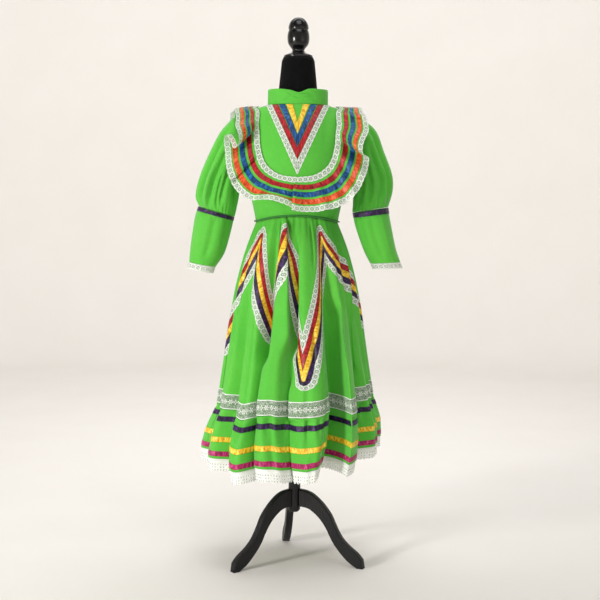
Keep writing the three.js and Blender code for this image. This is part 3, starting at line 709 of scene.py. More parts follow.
def turned(name, rows, finish, node, curve_steps):
    """A turned piece, with a number of steps from each row of its profile to the next."""
    line = curved(rows, (len(rows) - 1) * curve_steps + 1)
    profile = [(max(r, 0) * MM, z * MM) for r, z in line]
    dress_up(spun(name, profile, TURNED_WELD), finish, node)


FINIAL = [
    (0, 1486.3), (38, 1486.3), (42, 1487), (41.5, 1491), (36, 1493.5), (30, 1496), (22, 1499.5),
    (18, 1504), (18, 1508), (22, 1514), (28, 1522), (31, 1530), (32.3, 1542), (31.3, 1554),
    (29, 1562), (27.4, 1565), (28.9, 1568), (29.2, 1573), (27.5, 1581), (23, 1590), (15.5, 1597.5),
    (8, 1600.8), (0, 1602),
]
POLE = [(0, 236.4), (14, 236.4), (14, 240), (14, 500), (14, 785), (14, 789.6), (0, 789.6)]
HUB = [(0, 144), (10, 145.2), (15, 149), (17, 154), (17.5, 159), (17.5, 229), (16.5, 234), (13, 236),
       (0, 236)]
turned("finial_turned", FINIAL, LACQUER, "finial", 4)
turned("pole_turned", POLE, WOOD, "pole", 2)
turned("hub_turned", HUB, WOOD, "hub", 4)

# %% [markdown]
# ## Tripod legs
# Each leg is sawn from a board along an S curve and its edges are rounded over. The outline is a
# face, which is extruded to the board's thickness and bevelled.

# %% Legs
LEG_THICKNESS = 22
LEG_ROUNDING = 3.2
LEG_TURNS = {"leg_left": -53, "leg_right": 67, "leg_back": 187}
LEG_UPPER_EDGE = [
    (17.9, 214), (40, 211), (61, 203), (86, 184), (106, 163), (121, 142), (131, 121), (143, 98),
    (157, 78), (178, 59), (202, 42), (218, 25),
]
LEG_LOWER_EDGE = [
    (202, 0), (190, 6), (172, 18), (155, 34), (137, 54), (122, 75), (111, 96), (98, 117), (80, 138),
    (56, 156), (38, 162), (17.9, 163),
]
FOOT_TIP = (222, 0.01)
LEG_CURVE_STEPS = 34
LEG_SHARP_BELOW = 3  # the foot keeps its flat end


def tripod_leg(name, turn):
    """One leg, sawn from a board and turned to its place round the hub."""
    outline = curved(LEG_UPPER_EDGE, LEG_CURVE_STEPS) + [FOOT_TIP]
    outline += curved(LEG_LOWER_EDGE, LEG_CURVE_STEPS)
    bm = bmesh.new()
    half = LEG_THICKNESS / 2
    board = bm.faces.new([bm.verts.new((r * MM, -half * MM, z * MM)) for r, z in outline])
    grown = bmesh.ops.extrude_face_region(bm, geom=[board])["geom"]
    moved = [item for item in grown if isinstance(item, bmesh.types.BMVert)]
    bmesh.ops.translate(bm, verts=moved, vec=(0, LEG_THICKNESS * MM, 0))
    bmesh.ops.recalc_face_normals(bm, faces=bm.faces)
    sides = [e for e in bm.edges if abs(e.verts[0].co.y - e.verts[1].co.y) < 1e-6]
    raised = [e for e in sides if max(v.co.z for v in e.verts) > LEG_SHARP_BELOW * MM]
    bmesh.ops.bevel(
        bm, geom=raised, offset=LEG_ROUNDING * MM, segments=3, affect="EDGES", profile=0.5,
        material=-1, clamp_overlap=True,
    )
    for face in bm.faces:
        face.smooth = len(face.verts) < 8
    bmesh.ops.rotate(bm, verts=bm.verts, matrix=Matrix.Rotation(math.radians(turn - 90), 3, "Z"))
    dress_up(made(name + "_sawn", bm), WOOD, name)


for leg_name, leg_turn in LEG_TURNS.items():
    tripod_leg(leg_name, leg_turn)

# %% [markdown]
# ## Bodice
# The bodice has a front and a back, with round armholes at the sides. Each panel's columns draw in
# above the underarm, so that its edge is the armhole. A few long, shallow troughs stand for the pull
# of the cloth at the bust, the underarm and the waist.

# %% Bodice
WALL = 0.0014  # metres
WAIST_SIDE = 1007
WAIST_FRONT_RISE = 18
SEAM_GAP = 0.4
PANEL_HALF_TURN = 89.9  # degrees from a panel's middle to its side seam, less a hair
BODICE = table(
    "z width front back",
    (1000, 119, 86, 84), (1055, 130, 100, 90), (1105, 143, 118, 97), (1160, 149, 131, 103),
    (1205, 151, 127, 106), (1255, 153, 112, 103), (1295, 156, 93, 93), (1317, 149, 79, 81),
    (1335, 124, 70, 74), (1346, 88, 64, 68),
)
NECK_SEAM = 1346
ARMHOLE = {"top": 1303, "bottom": 1168, "half_width": 46}
BODICE_CREASES = [
    # from angle, -height, to angle, -height, width, depth
    (-62, -1130, -38, -1020, 4, 1.6), (-48, -1115, -30, -1030, 3, 1.0), (60, -1135, 40, -1022, 4, 1.5),
    (44, -1110, 30, -1035, 3, 1.1), (-18, -1080, -12, -1020, 3, 0.8), (16, -1078, 20, -1020, 3, 0.9),
    (-33, -1330, -27, -1190, 4, 1.0), (34, -1330, 29, -1200, 4, 1.1), (-24, -1290, -16, -1160, 3, 0.7),
    (200, -1300, 192, -1060, 5, 1.4), (160, -1310, 170, -1040, 5, 1.3), (222, -1180, 208, -1020, 5, 1.6),
    (138, -1190, 150, -1025, 5, 1.5), (180, -1200, 180, -1030, 4, 0.9),
]


def waist_height(angle):
    """The height of the waist seam, which rises at the front."""
    return WAIST_SIDE + WAIST_FRONT_RISE * np.maximum(0, np.cos(np.radians(angle))) ** 2


def bodice_plain(angle, down):
    return on_oval(read(BODICE, "z", -down), angle, -down)


def off_bodice(angle, z, out):
    """Points on the bodice at an angle and a height, moved out."""
    return moved_out(bodice_plain, angle, -z, out, 0.05, 0.5)


def armhole_angle(z):
    """Half the armhole's opening at a height, as an angle either side of the side seam."""
    middle = (ARMHOLE["top"] + ARMHOLE["bottom"]) / 2
    rise = (z - middle) / ((ARMHOLE["top"] - ARMHOLE["bottom"]) / 2)
    half = ARMHOLE["half_width"] * np.sqrt(np.maximum(0, 1 - rise * rise))
    oval = read(BODICE, "z", z)
    return np.degrees(np.arcsin(half / np.minimum(oval["front"], oval["back"])))


def bodice_panel(middle_angle):
    """A panel's surface: side runs from -1 to 1 across it, and down from 0 to 1."""
    def surface(side, down):
        top, bottom = NECK_SEAM, waist_height(middle_angle + side * 90) + SEAM_GAP
        z = mix(top, bottom, down)
        angle = middle_angle + side * (PANEL_HALF_TURN - armhole_angle(z))
        return off_bodice(angle, z, creases(angle, -z, BODICE_CREASES))

    return surface


def green_piece(name, node, surface, us, vs, ring=False, wall=WALL):
    """A piece of the green cotton, with the thickness of its wall in metres."""
    dress_up(grid_piece(name, surface, us, vs, ring), GREEN, node, wall)


BODICE_SIDES = np.linspace(-1, 1, 121)
BODICE_DOWNS = np.linspace(0, 1, 111)
for side, middle in (("front", 0), ("back", 180)):
    green_piece(
        f"bodice_{side}_cloth", f"bodice_{side}", bodice_panel(middle), BODICE_SIDES, BODICE_DOWNS
    )

# %% [markdown]
# ## Collar
# The stand collar is one folded band. Its top edge sags at the front, and the cloth creases on the
# slant there. It is open inside, so the form's neck shows.

# %% Collar
COLLAR_TOP = 1391
COLLAR_DIPS = [(3, 9, 12), (-12, 4, 20)]  # angle, depth and width of each dip
COLLAR_ROLL = {"deep": 1.2, "width": 0.07}  # the folded top edge turns in
COLLAR_CREASES = [
    # from angle, share of the way down, to angle, share, width, depth
    (-30, 0.05, 8, 0.62, 3.5, 3.2), (2, 0.1, 36, 0.62, 3.5, 3.2), (-8, 0.3, -30, 0.95, 4, 2.4),
    (18, 0.45, 48, 0.98, 6, 1.8), (-60, 0.1, -48, 0.8, 5, 1.6), (150, 0.1, 170, 0.9, 7, 1.0),
    (205, 0.15, 190, 0.9, 7, 0.9), (100, 0.05, 110, 0.8, 6, 0.8), (260, 0.1, 250, 0.9, 6, 0.8),
]


def collar_surface(angle, down):
    """The collar without its creases."""
    dip = sum(depth * hump(angle_gap(angle, at), width) for at, depth, width in COLLAR_DIPS)
    neck = {name: BODICE[name][-1] for name in ("width", "front", "back")}
    return on_oval(neck, angle, mix(COLLAR_TOP - dip, NECK_SEAM + SEAM_GAP, down))


def collar_creased(angle, down):
    roll = -COLLAR_ROLL["deep"] * hump(down, COLLAR_ROLL["width"])
    return moved_out(collar_surface, angle, down, creases(angle, down, COLLAR_CREASES) + roll)


# The ring starts at the back, where its join is out of sight.
collar_angles = np.linspace(0, 360, 161) + 180
green_piece("collar_band", "collar", collar_creased, collar_angles, np.linspace(0, 1, 29), ring=True)

# %% [markdown]
# ## Waist cord
# A cord covered in darker green cloth hides the waist seam. It is a small ring carried round the
# waist, and it rises at the front with the seam.

# %% Waist cord
CORD_RADIUS = 2.6
CORD_CLEAR = 0.6


def cord_surface(angle, turn):
    """A ring round the waist, with turn as the angle round the cord itself."""
    z = waist_height(angle)
    oval = read(BODICE, "z", z)
    out = CORD_CLEAR + CORD_RADIUS * (1 + np.cos(np.radians(turn)))
    wider = {name: oval[name] + out for name in ("width", "front", "back")}
    return on_oval(wider, angle, z - CORD_RADIUS * np.sin(np.radians(turn)))


cord = grid_piece(
    "waist_cord", cord_surface, np.linspace(0, 360, 241) + 180, np.linspace(0, 360, 13), ring=True
)
dress_up(cord, CORD, "waist_piping")

# %% [markdown]
# ## V of lace and ribbons
# Lace and three ribbons make nested Vs on the front, mitred at the point, with a triangle of green
# left inside. Each lies flat on the bodice, so its points are the bodice's, moved out a little. A
# ribbon gets a thin wall, while lace stays a single layer.

# %% Yoke
YOKE_TOP = 1344.5
YOKE_TRIMS = [
    # name, outer and inner line as half width at the top and height of the point, lift
    ("yoke_lace", (93, 1139), (74.5, 1183), 1.5, RING_LACE),
    ("yoke_ribbon_red", (74, 1184), (57, 1218), 1.6, RED),
    ("yoke_ribbon_blue", (54, 1221), (36.5, 1254), 1.6, BLUE),
    ("yoke_ribbon_yellow", (33.5, 1257), (15, 1292), 1.6, YELLOW),
]
RIBBON_WALL = 0.0005  # metres
RIBBON_REPEAT = 0.015
LACE_REPEATS = {RING_LACE.name: 0.015, LEAF_LACE.name: 0.03, HEM_LACE.name: 0.024}


def trim(name, node, surface, us, vs, finish, ring=True):
    """A strip of lace or ribbon. Its finish tells how long one repeat of its pattern is."""
    repeat = LACE_REPEATS.get(finish.name, RIBBON_REPEAT)
    wall = None if finish.name in LACE_REPEATS else RIBBON_WALL
    dress_up(grid_piece(name, surface, us, vs, ring, repeat), finish, node, wall)


def bodice_front(x, z):
    """Where a point of the flat pattern lies on the bodice's front."""
    oval = read(BODICE, "z", z)
    return point(x, -oval["front"] * np.sqrt(np.maximum(0, 1 - (x / oval["width"]) ** 2)), z)


def yoke_surface(outer, inner, lift):
    def plain(side, across):
        top, tip = mix(outer[0], inner[0], 1 - across), mix(outer[1], inner[1], 1 - across)
        return bodice_front(top * side, mix(tip, YOKE_TOP, np.abs(side)))

    def surface(side, across):
        flutter = 0.5 * np.sin(side * 31 + across * 2.0) * np.sin(side * 13)
        return moved_out(plain, side, across, lift + flutter, 0.004, 0.01)

    return surface


for name, outer, inner, lift, finish in YOKE_TRIMS:
    strip = yoke_surface(outer, inner, lift)
    trim(
        name + "_sewn", name, strip, np.linspace(-1, 1, 121), np.linspace(0, 1, 9), finish, ring=False
    )

# %% [markdown]
# ## Ruffle
# A deep ruffle runs round the yoke and over both shoulders. It is sewn to the bodice along its inner
# edge and flares out freely. The waves are uneven, and seven of them are laid over so far that they
# hide a strip of the ruffle: one at each side of the chest, one low on the left, one at the centre
# and three at the back. A laid wave moves the cloth sideways as well as out, so that its front layer
# covers the one behind.

# %% Ruffle
RUFFLE_QUARTER = table(
    "along seam_angle seam_z edge_x edge_y edge_z",
    (0, 0, 1135, 0, -150, 1033), (0.18, 20, 1143, 86, -148, 1044), (0.35, 36, 1173, 154, -136, 1078),
    (0.52, 43, 1219, 194, -116, 1146), (0.72, 45, 1277, 206, -86, 1240),
    (0.88, 50, 1323, 196, -46, 1308), (1, 90, 1340, 182, 0, 1331),
)
BACK_EDGE_SCALE = 0.9
RUFFLE_CLEAR = 3.4
LAID_WAVES = [
    # loop, half width, sideways, out, from across, to across: out is less than 0 where the part
    # before the wave lies on top
    (-0.705, 0.045, 0.040, -26, 0.05, 0.4), (-0.47, 0.030, 0.024, -9, 0.1, 0.3),
    (-0.022, 0.032, 0.034, 14, 0.05, 0.3), (0.62, 0.042, 0.036, 18, 0.05, 0.3),
    (1.35, 0.04, 0.03, 14, 0.1, 0.4), (-1.55, 0.04, 0.03, 14, 0.1, 0.4),
    (1.85, 0.04, 0.03, -10, 0.1, 0.5),
]
WAVES = [
    # loop, half width, height
    (-0.93, 0.05, 8), (-0.60, 0.04, 7), (-0.36, 0.04, 8), (-0.25, 0.025, 7), (-0.15, 0.03, 6),
    (0.08, 0.03, 7), (0.17, 0.025, 9), (0.27, 0.03, 10), (0.38, 0.032, 9), (0.49, 0.03, 9),
    (0.76, 0.035, 8), (0.87, 0.03, 10), (0.99, 0.04, 11), (1.14, 0.05, 12), (1.25, 0.035, 9),
    (1.48, 0.05, 11), (1.62, 0.045, 11), (1.76, 0.04, 12), (1.97, 0.05, 11), (-1.10, 0.05, 11),
    (-1.24, 0.05, 10), (-1.38, 0.045, 12), (-1.70, 0.05, 11), (-1.84, 0.045, 12),
]
RIPPLES = 26
RIPPLE = 2.9
EDGE_LIFT = 3
# Left of the middle a crosswise fold takes up part of the ruffle's width.
TUCK = {"loop": -0.14, "half_width": 0.1, "deep": 0.16, "from": 0.62, "to": 0.86, "inward": 3.5}
LOOP_STEP = 0.012
LOOP_FINE_STEP = 0.0035
EDGE_SHIFTS = [
    # loop, half width, then the way the free edge moves there
    (-0.16, 0.13, 0, 0, 14), (-0.55, 0.1, 0, 0, -6), (0.3, 0.12, 0, 0, -4), (-0.83, 0.12, 24, -26, 0),
    (-0.74, 0.05, 16, -14, 0), (0.70, 0.06, -18, -18, 0), (0.92, 0.08, -4, -6, 0),
]


def loop_gap(loop, at):
    """The way between two places on the loop, which is 4 long: 0 is the front and 2 the back."""
    return (loop - at + 2) % 4 - 2


def ruffle_base(loop, across):
    """The ruffle without waves, from its seam on the bodice to its free edge."""
    turn = loop % 4
    behind = (turn > 1) & (turn < 3)
    side = np.where(turn < 2, 1, -1)
    along = np.where(turn < 2, turn, 4 - turn)
    row = read(RUFFLE_QUARTER, "along", np.where(along > 1, 2 - along, along))
    angle = side * np.where(behind, 180 - row["seam_angle"], row["seam_angle"])
    seam = off_bodice(angle, row["seam_z"], np.full(np.shape(angle), RUFFLE_CLEAR))
    edge_y = np.where(behind, -row["edge_y"] * BACK_EDGE_SCALE, row["edge_y"])
    edge = point(side * row["edge_x"], edge_y, row["edge_z"])
    for at, width, *shift in EDGE_SHIFTS:
        edge = edge + hump(loop_gap(loop, at), width)[..., None] * np.array(shift)
    return mix(seam, edge, np.asarray(across)[..., None])


def ruffle_surface(loop, across):
    """The laid waves move the cloth along the loop and out, the others only out."""
    moved, out = np.zeros(np.shape(loop)), np.zeros(np.shape(loop))
    for at, width, sideways, height, start, full in LAID_WAVES:
        pull = lap(loop_gap(loop, at) / width) * smooth(across, start, full)
        moved = moved - sideways * pull
        out = out + height * (pull + np.abs(pull) * 0.3) * mix(0.45, 1, across)
    for at, width, height in WAVES:
        out = out + height * hump(loop_gap(loop, at), width) * np.maximum(across, 0) ** 0.8
    tuck = np.exp(-((loop_gap(loop, TUCK["loop"]) / TUCK["half_width"]) ** 4))
    share = np.clip((across - TUCK["from"]) / (TUCK["to"] - TUCK["from"]), 0, 1)
    shifted = across - TUCK["deep"] * tuck * smooth(share)
    turn = 2 * math.pi * RIPPLES * loop / 4
    out = out + RIPPLE * np.sin(turn + 1.5 * np.sin(turn / 3)) * smooth(across, 0.05, 0.5)
    out = out - TUCK["inward"] * tuck * np.sin(math.pi * share) + EDGE_LIFT * across
    return moved_out(ruffle_base, loop + moved, shifted, out, 0.01, 0.01)


def ruffle_columns():
    """Loop values round the ruffle from the back centre, closer together at the laid waves."""
    spots = [np.arange(-2, 2, LOOP_STEP)]
    for at, width, *_ in LAID_WAVES:
        spots.append(np.arange(at - 2.2 * width, at + 2.2 * width, LOOP_FINE_STEP))
    joined = np.unique(np.round(np.clip(np.concatenate(spots), -2, 2), 4))
    nearest = LOOP_FINE_STEP * 0.6
    kept = [joined[0]]
    for value in joined[1:]:
        if value - kept[-1] > nearest:
            kept.append(value)
    if 2.0 - kept[-1] <= nearest:
        kept.pop()
    return np.array(kept + [2.0])


RUFFLE_LOOPS = ruffle_columns()
RUFFLE_CLOTH_END = 0.87
RUFFLE_WALL = 0.001  # metres
ruffle_rows = np.linspace(0, RUFFLE_CLOTH_END, 41)
green_piece(
    "ruffle_cloth", "ruffle", ruffle_surface, RUFFLE_LOOPS, ruffle_rows, ring=True, wall=RUFFLE_WALL
)

# %% [markdown]
# ## Trims on the ruffle
# Lace, red, blue and orange ribbon run round the ruffle, and a second lace hangs from its free edge.
# They follow every wave, because they are the ruffle's own points moved out.

# %% Ruffle trims
RUFFLE_TRIMS = [
    # name, its two edges across the ruffle, lift
    ("ruffle_lace_inner", 0.0, 0.175, 1.1, RING_LACE),
    ("ruffle_ribbon_red", 0.24, 0.385, 0.9, RED),
    ("ruffle_ribbon_blue", 0.455, 0.6, 0.9, BLUE),
    ("ruffle_ribbon_orange", 0.66, 0.81, 0.9, ORANGE),
    ("ruffle_lace_outer", 0.85, 1.03, 0.7, RING_LACE),
]
RUFFLE_TRIM_STEPS = (0.002, 0.004)
TRIM_LIFT = 0.9  # for the trims below the ruffle


def laid_on(surface, top, bottom, lift, *steps):
    """A strip of a surface between two values of v, lifted off it."""

    def strip(u, share):
        return moved_out(surface, u, mix(top, bottom, share), lift, *steps)

    return strip


for name, top, bottom, lift, finish in RUFFLE_TRIMS:
    strip = laid_on(ruffle_surface, top, bottom, lift, *RUFFLE_TRIM_STEPS)
    trim(name + "_sewn", name, strip, RUFFLE_LOOPS, np.linspace(0, 1, 8), finish)

# %% [markdown]
# ## Sleeves
# Each sleeve is a full puff that is drawn in by a ribbon below the elbow, and a plainer part that
# narrows to the cuff. Its rings lean with the arm. The puff hangs in long soft folds from the
# shoulder, given one by one as troughs, and it is gathered in small pleats at the ribbon.

# %% Sleeves
SLEEVES = {
    "left": {
        "side": -1,
        "upper": table(
            "run out_x out_z in_x in_z depth",
            (1, 190, 1308, 158, 1161, 55), (2, 226, 1267, 162, 1145, 61), (3, 255, 1211, 166, 1127, 65),
            (4, 283, 1145, 168, 1103, 66), (5, 298, 1083, 172, 1067, 62), (6, 288, 1049, 183, 1019, 51),
        ),
        "lower": table(
            "run out_x out_z in_x in_z depth",
            (0, 289, 1049, 184, 1019, 51), (1, 300, 1015, 191, 987, 53), (2, 311, 941, 211, 915, 47),
            (3, 316, 886, 238, 871, 38),
        ),
        "upper_creases": [
            # from angle, run, to angle, run, width, depth: angle 0 is the outer side
            (46, 1, 36, 6.2, 8, 12), (80, 1.6, 74, 5.9, 8, 8.5), (112, 2.4, 104, 5.8, 6, 8.5),
            (140, 2.2, 150, 5.5, 8, 8.5), (96, 3.2, 92, 6.1, 5, 5.1), (66, 3, 60, 6.2, 6, -5.1),
            (200, 1.4, 196, 5.8, 10, 8.5), (250, 1, 240, 6, 9, 10.2), (290, 1.2, 300, 6.1, 9, 8.5),
            (330, 2, 325, 6, 8, 6.8),
        ],
        "lower_creases": [
            (98, 0.3, 92, 2.8, 12, 5.1), (60, 0.4, 50, 2.4, 10, -2.5), (135, 0.3, 140, 2, 9, 3.4),
            (250, 0.3, 245, 2.6, 12, 5.1), (300, 0.4, 310, 2.2, 10, 3.4),
        ],
    },
    "right": {
        "side": 1,
        "upper": table(
            "run out_x out_z in_x in_z depth",
            (1, 192, 1308, 158, 1161, 55), (2, 230, 1273, 162, 1145, 61), (3, 254, 1213, 165, 1127, 65),
            (4, 278, 1149, 166, 1103, 66), (5, 281, 1101, 164, 1067, 62), (6, 268, 1051, 163, 1035, 51),
        ),
        "lower": table(
            "run out_x out_z in_x in_z depth",
            (0, 268, 1050.5, 164, 1034.5, 51), (1, 276, 1005, 172, 995, 52), (2, 292, 931, 197, 925, 46),
            (3, 306, 891, 217, 886, 38),
        ),
        "upper_creases": [
            (318, 1, 326, 6.1, 9, 8.5), (288, 1.6, 292, 5.9, 8, 8.5), (262, 2.2, 256, 5.8, 7, 8.5),
            (236, 2.4, 222, 5.6, 8, 8.5), (302, 3, 306, 6.1, 5, -4.2), (160, 1.4, 164, 5.8, 10, 8.5),
            (110, 1, 118, 6, 9, 10.2), (70, 1.2, 62, 6.1, 9, 8.5), (30, 2, 34, 6, 8, 6.8),
        ],
        "lower_creases": [
            (262, 0.3, 268, 2.8, 12, 5.1), (300, 0.4, 306, 2.4, 10, -2.5), (225, 0.3, 222, 2, 9, 3.4),
            (110, 0.3, 116, 2.6, 12, 5.1), (60, 0.4, 50, 2.2, 10, 3.4),
        ],
    },
}
ARM_MARGIN = 3  # the sleeve's first ring is wider than the armhole by this much
ARM_LIFT = 0.9
SLEEVE_END = 0.02
SLEEVE_RIBBON = 0.42  # the run where the ribbon's lower edge lies
DRAWN_FROM = 4.6  # the run where the puff starts to draw in
CUFF_LACE = 20
GATHERS = 26
GATHER_DEEP = 2.2
SLEEVE_DEEP = 1.4
SLEEVE_PROBE = (0.5, 0.01)  # steps in angle and run that find the sleeve's slope


def sleeve_ring(side, row, angle):
    """A leaning oval round the arm. Its outer and inner ends are in the table."""
    turn = np.radians(angle)
    share = (1 + np.cos(turn)) / 2
    x = side * mix(row["in_x"], row["out_x"], share)
    return point(x, side * row["depth"] * np.sin(turn), mix(row["in_z"], row["out_z"], share))


def arm_ring(side, angle):
    """The first ring follows the bodice round the armhole."""
    turn = np.radians(angle)
    middle = (ARMHOLE["top"] + ARMHOLE["bottom"]) / 2
    half = (ARMHOLE["top"] - ARMHOLE["bottom"]) / 2
    z = middle + (half + ARM_MARGIN) * np.cos(turn)
    y = side * (ARMHOLE["half_width"] + ARM_MARGIN) * np.sin(turn)
    oval = read(BODICE, "z", z)
    depth = np.where(y < 0, oval["front"], oval["back"])
    return point(side * (oval["width"] * np.sqrt(1 - (y / depth) ** 2) + ARM_LIFT), y, z)


def gathers(angle, count, phase=0.0):
    """Small pleats, uneven in width and depth."""
    turn = np.radians(angle)
    bent = count * turn + 1.1 * np.sin(3 * turn + phase) + 0.8 * np.sin(7 * turn + 2 * phase)
    return -((1 + np.cos(bent)) / 2) * (0.7 + 0.3 * np.sin(5 * turn + phase))


def puff_surface(sleeve):
    """The puff, from the armhole to the ribbon."""
    side, rows = sleeve["side"], sleeve["upper"]
    first = {name: column[0] for name, column in rows.items()}

    def plain(angle, run):
        later = sleeve_ring(side, read(rows, "run", np.maximum(run, 1)), angle)
        early = mix(arm_ring(side, angle), sleeve_ring(side, first, angle), run[..., None])
        return np.where((run < 1)[..., None], early, later)

    def surface(angle, run):
        drawn = smooth(run, DRAWN_FROM, 6.0)
        out = SLEEVE_DEEP * creases(angle, run, sleeve["upper_creases"])
        out = out + GATHER_DEEP * drawn * gathers(angle, GATHERS, side)
        out = out + 0.8 * smooth(1.6 - run, 0, 1) * gathers(angle, 18, 2 + side) * smooth(run, 0, 0.3)
        return moved_out(plain, angle, run, out, *SLEEVE_PROBE)

    return surface


def forearm_surface(sleeve):
    """The plainer part, from the ribbon to the cuff."""
    def plain(angle, run):
        return sleeve_ring(sleeve["side"], read(sleeve["lower"], "run", run), angle)

    def surface(angle, run):
        drawn = smooth(1.1 - run, 0, 0.9) * smooth(run, SLEEVE_RIBBON, 0.6)
        cuff = smooth(run, 2.6, 3.0)
        out = creases(angle, run, sleeve["lower_creases"])
        out = out + (1.6 * drawn + 0.7 * cuff) * gathers(angle, GATHERS, 1 + sleeve["side"])
        return moved_out(plain, angle, run, out, *SLEEVE_PROBE)

    return surface


def cuff_surface(sleeve):
    """The lace beyond the cuff, which carries on the way the sleeve runs."""
    rows = sleeve["lower"]
    end = {name: column[-1] for name, column in rows.items()}
    across = [(rows["out_x"][i] + rows["in_x"][i]) / 2 for i in (-2, -1)]
    up = [(rows["out_z"][i] + rows["in_z"][i]) / 2 for i in (-2, -1)]
    along = np.array([sleeve["side"] * (across[1] - across[0]), 0, up[1] - up[0]])
    along /= np.linalg.norm(along)

    def plain(angle, drop):
        return sleeve_ring(sleeve["side"], end, angle) + along * np.asarray(drop)[..., None]

    def surface(angle, drop):
        out = (0.7 + drop * 0.05) * gathers(angle, GATHERS, 1 + sleeve["side"])
        return moved_out(plain, angle, drop, out, 0.5, 0.1)

    return surface


SLEEVE_ANGLES = np.linspace(0, 360, 193)
armhole_runs = np.linspace(SLEEVE_END, 1, 12)[:-1]
puff_runs = np.concatenate([armhole_runs, np.linspace(1, 6 - SLEEVE_END, 70)])
for name, sleeve in SLEEVES.items():
    puff, forearm = puff_surface(sleeve), forearm_surface(sleeve)
    ribbon = laid_on(forearm, SLEEVE_END, SLEEVE_RIBBON, TRIM_LIFT, *SLEEVE_PROBE)
    green_piece(f"sleeve_{name}_puff", f"sleeve_{name}", puff, SLEEVE_ANGLES, puff_runs, ring=True)
    green_piece(
        f"forearm_{name}_cloth", f"forearm_{name}", forearm, SLEEVE_ANGLES, np.linspace(0, 3, 61),
        ring=True,
    )
    trim(
        f"sleeve_{name}_ribbon", f"sleeve_ribbon_{name}", ribbon, SLEEVE_ANGLES,
        np.linspace(0, 1, 8), PURPLE,
    )
    trim(
        f"cuff_{name}_lace", f"cuff_lace_{name}", cuff_surface(sleeve), SLEEVE_ANGLES,
        np.linspace(0.5, CUFF_LACE, 8), RING_LACE,
    )

# %% [markdown]
# ## Skirt
# The skirt falls in thirteen big folds. Between two folds lies a narrow valley, and the valleys
# deepen towards the hem. The waist is gathered in small uneven pleats that fade out downwards, and
# longer creases follow the folds.

# %% Skirt
SKIRT_SEAM = 458
SEAM_RISE = {"right": 42, "left": 10}
HEM_RISE = {"right": 20, "left": 12}
FOLDS = table(
    "valley depth drift",
    (-80, 0.8, 3), (-52, 0.6, 8), (-26, 1.45, 6), (-5, 0.8, 9), (31, 1.3, -9), (57, 0.6, -5),
    (82, 0.8, 0), (106, 1, 3), (131, 0.8, 2), (159, 1.1, 5), (188, 0.9, -3), (217, 1.1, -5),
    (247, 0.9, 1),
)
FOLD_ENDS = np.append(FOLDS["valley"][1:], FOLDS["valley"][0] + 360)
SKIRT_STEPS = (0, 0.1, 0.3, 0.5, 0.75, 0.9)
COLUMNS_BETWEEN = 8
NEAREST_COLUMN = 0.4  # degrees from a side seam
VALLEY_SHARPNESS = 4
SKIRT = table(
    "down width depth fold",
    (0, 119, 86, 2), (0.1, 140, 107, 9), (0.2, 158, 128, 16), (0.35, 179, 151, 26),
    (0.5, 194, 170, 38), (0.7, 210, 191, 51), (1, 234, 218, 63),
)
WAIST_PLEATS = [(3.4, 46, 1.0, 0.2, 0.2), (3.0, 21, 2.5, 0.6, 0.62)]  # as `fading` takes them
HANGING_CREASES = [
    # from angle, -height, to angle, -height, width, depth
    (-22, -1030, -22, -860, 1.3, 6), (-38, -800, -42, -300, 2.6, 10), (-14, -1024, -15, -760, 1.6, 5),
    (-62, -980, -68, -420, 3, 6), (19, -1028, 17, -870, 1.4, 5), (14, -740, 15, -560, 1.8, 6),
    (10, -620, 6, -300, 2.6, 6), (46, -960, 47, -560, 2.5, 6), (66, -940, 70, -300, 3, 6),
    (-43, -820, -46, -300, 3, 6), (25, -560, 24, -290, 2.4, 6), (-18, -520, -16, -290, 2.2, 6),
    (95, -960, 94, -400, 3, 6), (118, -1000, 120, -300, 3, 7), (146, -960, 144, -300, 3, 6),
    (172, -1000, 174, -420, 3, 7), (203, -960, 201, -300, 3, 6), (231, -1000, 233, -300, 3, 7),
    (260, -960, 263, -300, 3, 6), (152, -700, 150, -290, 2.5, 6), (195, -640, 197, -290, 2.5, 6),
]
CREASES_DEEP = 1.35
LAID_FOLDS = [
    # from angle, -height, to angle, -height, half width, sideways, out: more than 0 when the cloth
    # on the greater angle's side lies on top
    (-14, -1040, -10, -640, 2.4, 3.6, -11), (-4.2, -570, -4, -190, 2.8, 3.6, 11),
    (-29, -640, -31, -190, 3.0, 4.4, 10), (62, -930, 60, -560, 2.6, 3.6, -10),
    (42, -800, 43, -190, 3.4, 5.6, 13),
    (110, -1000, 108, -250, 2.2, 2.3, 9), (163, -1010, 161, -250, 2.2, 2.3, -9),
    (222, -1000, 219, -250, 2.2, 2.3, 9), (248, -960, 250, -500, 2.0, 2.0, -8),
]
# A deep pleat at the front: the cloth on its left slides under the panel that starts at the lip.
PLEAT = {
    "lip": 2.6, "hidden": 5.6, "slide": 11, "reach": 9, "panel": 10,  # degrees
    "top": 985, "starts": 90, "bottom": 612, "opens": 70, "lift": 9, "under": 4,  # millimetres
}
LEANS = [(-28, 14, -5, 0.35), (35, 12, 7, 0.1), (-53, 9, -3, 0.4)]  # angle, width, turn, from
# The seam hangs lower at some angles: angle, width, drop.
SEAM_DROPS = [(-43, 9, 20), (47, 9, 17), (-18, 7, -6), (150, 10, 14), (205, 10, 12)]


def leaning(angle, down):
    """The big folds lean aside on their way down."""
    turned = angle
    for at, width, turn, start in LEANS:
        turned = turned - turn * hump(angle_gap(angle, at), width) * smooth(down, start, 1)
    return turned


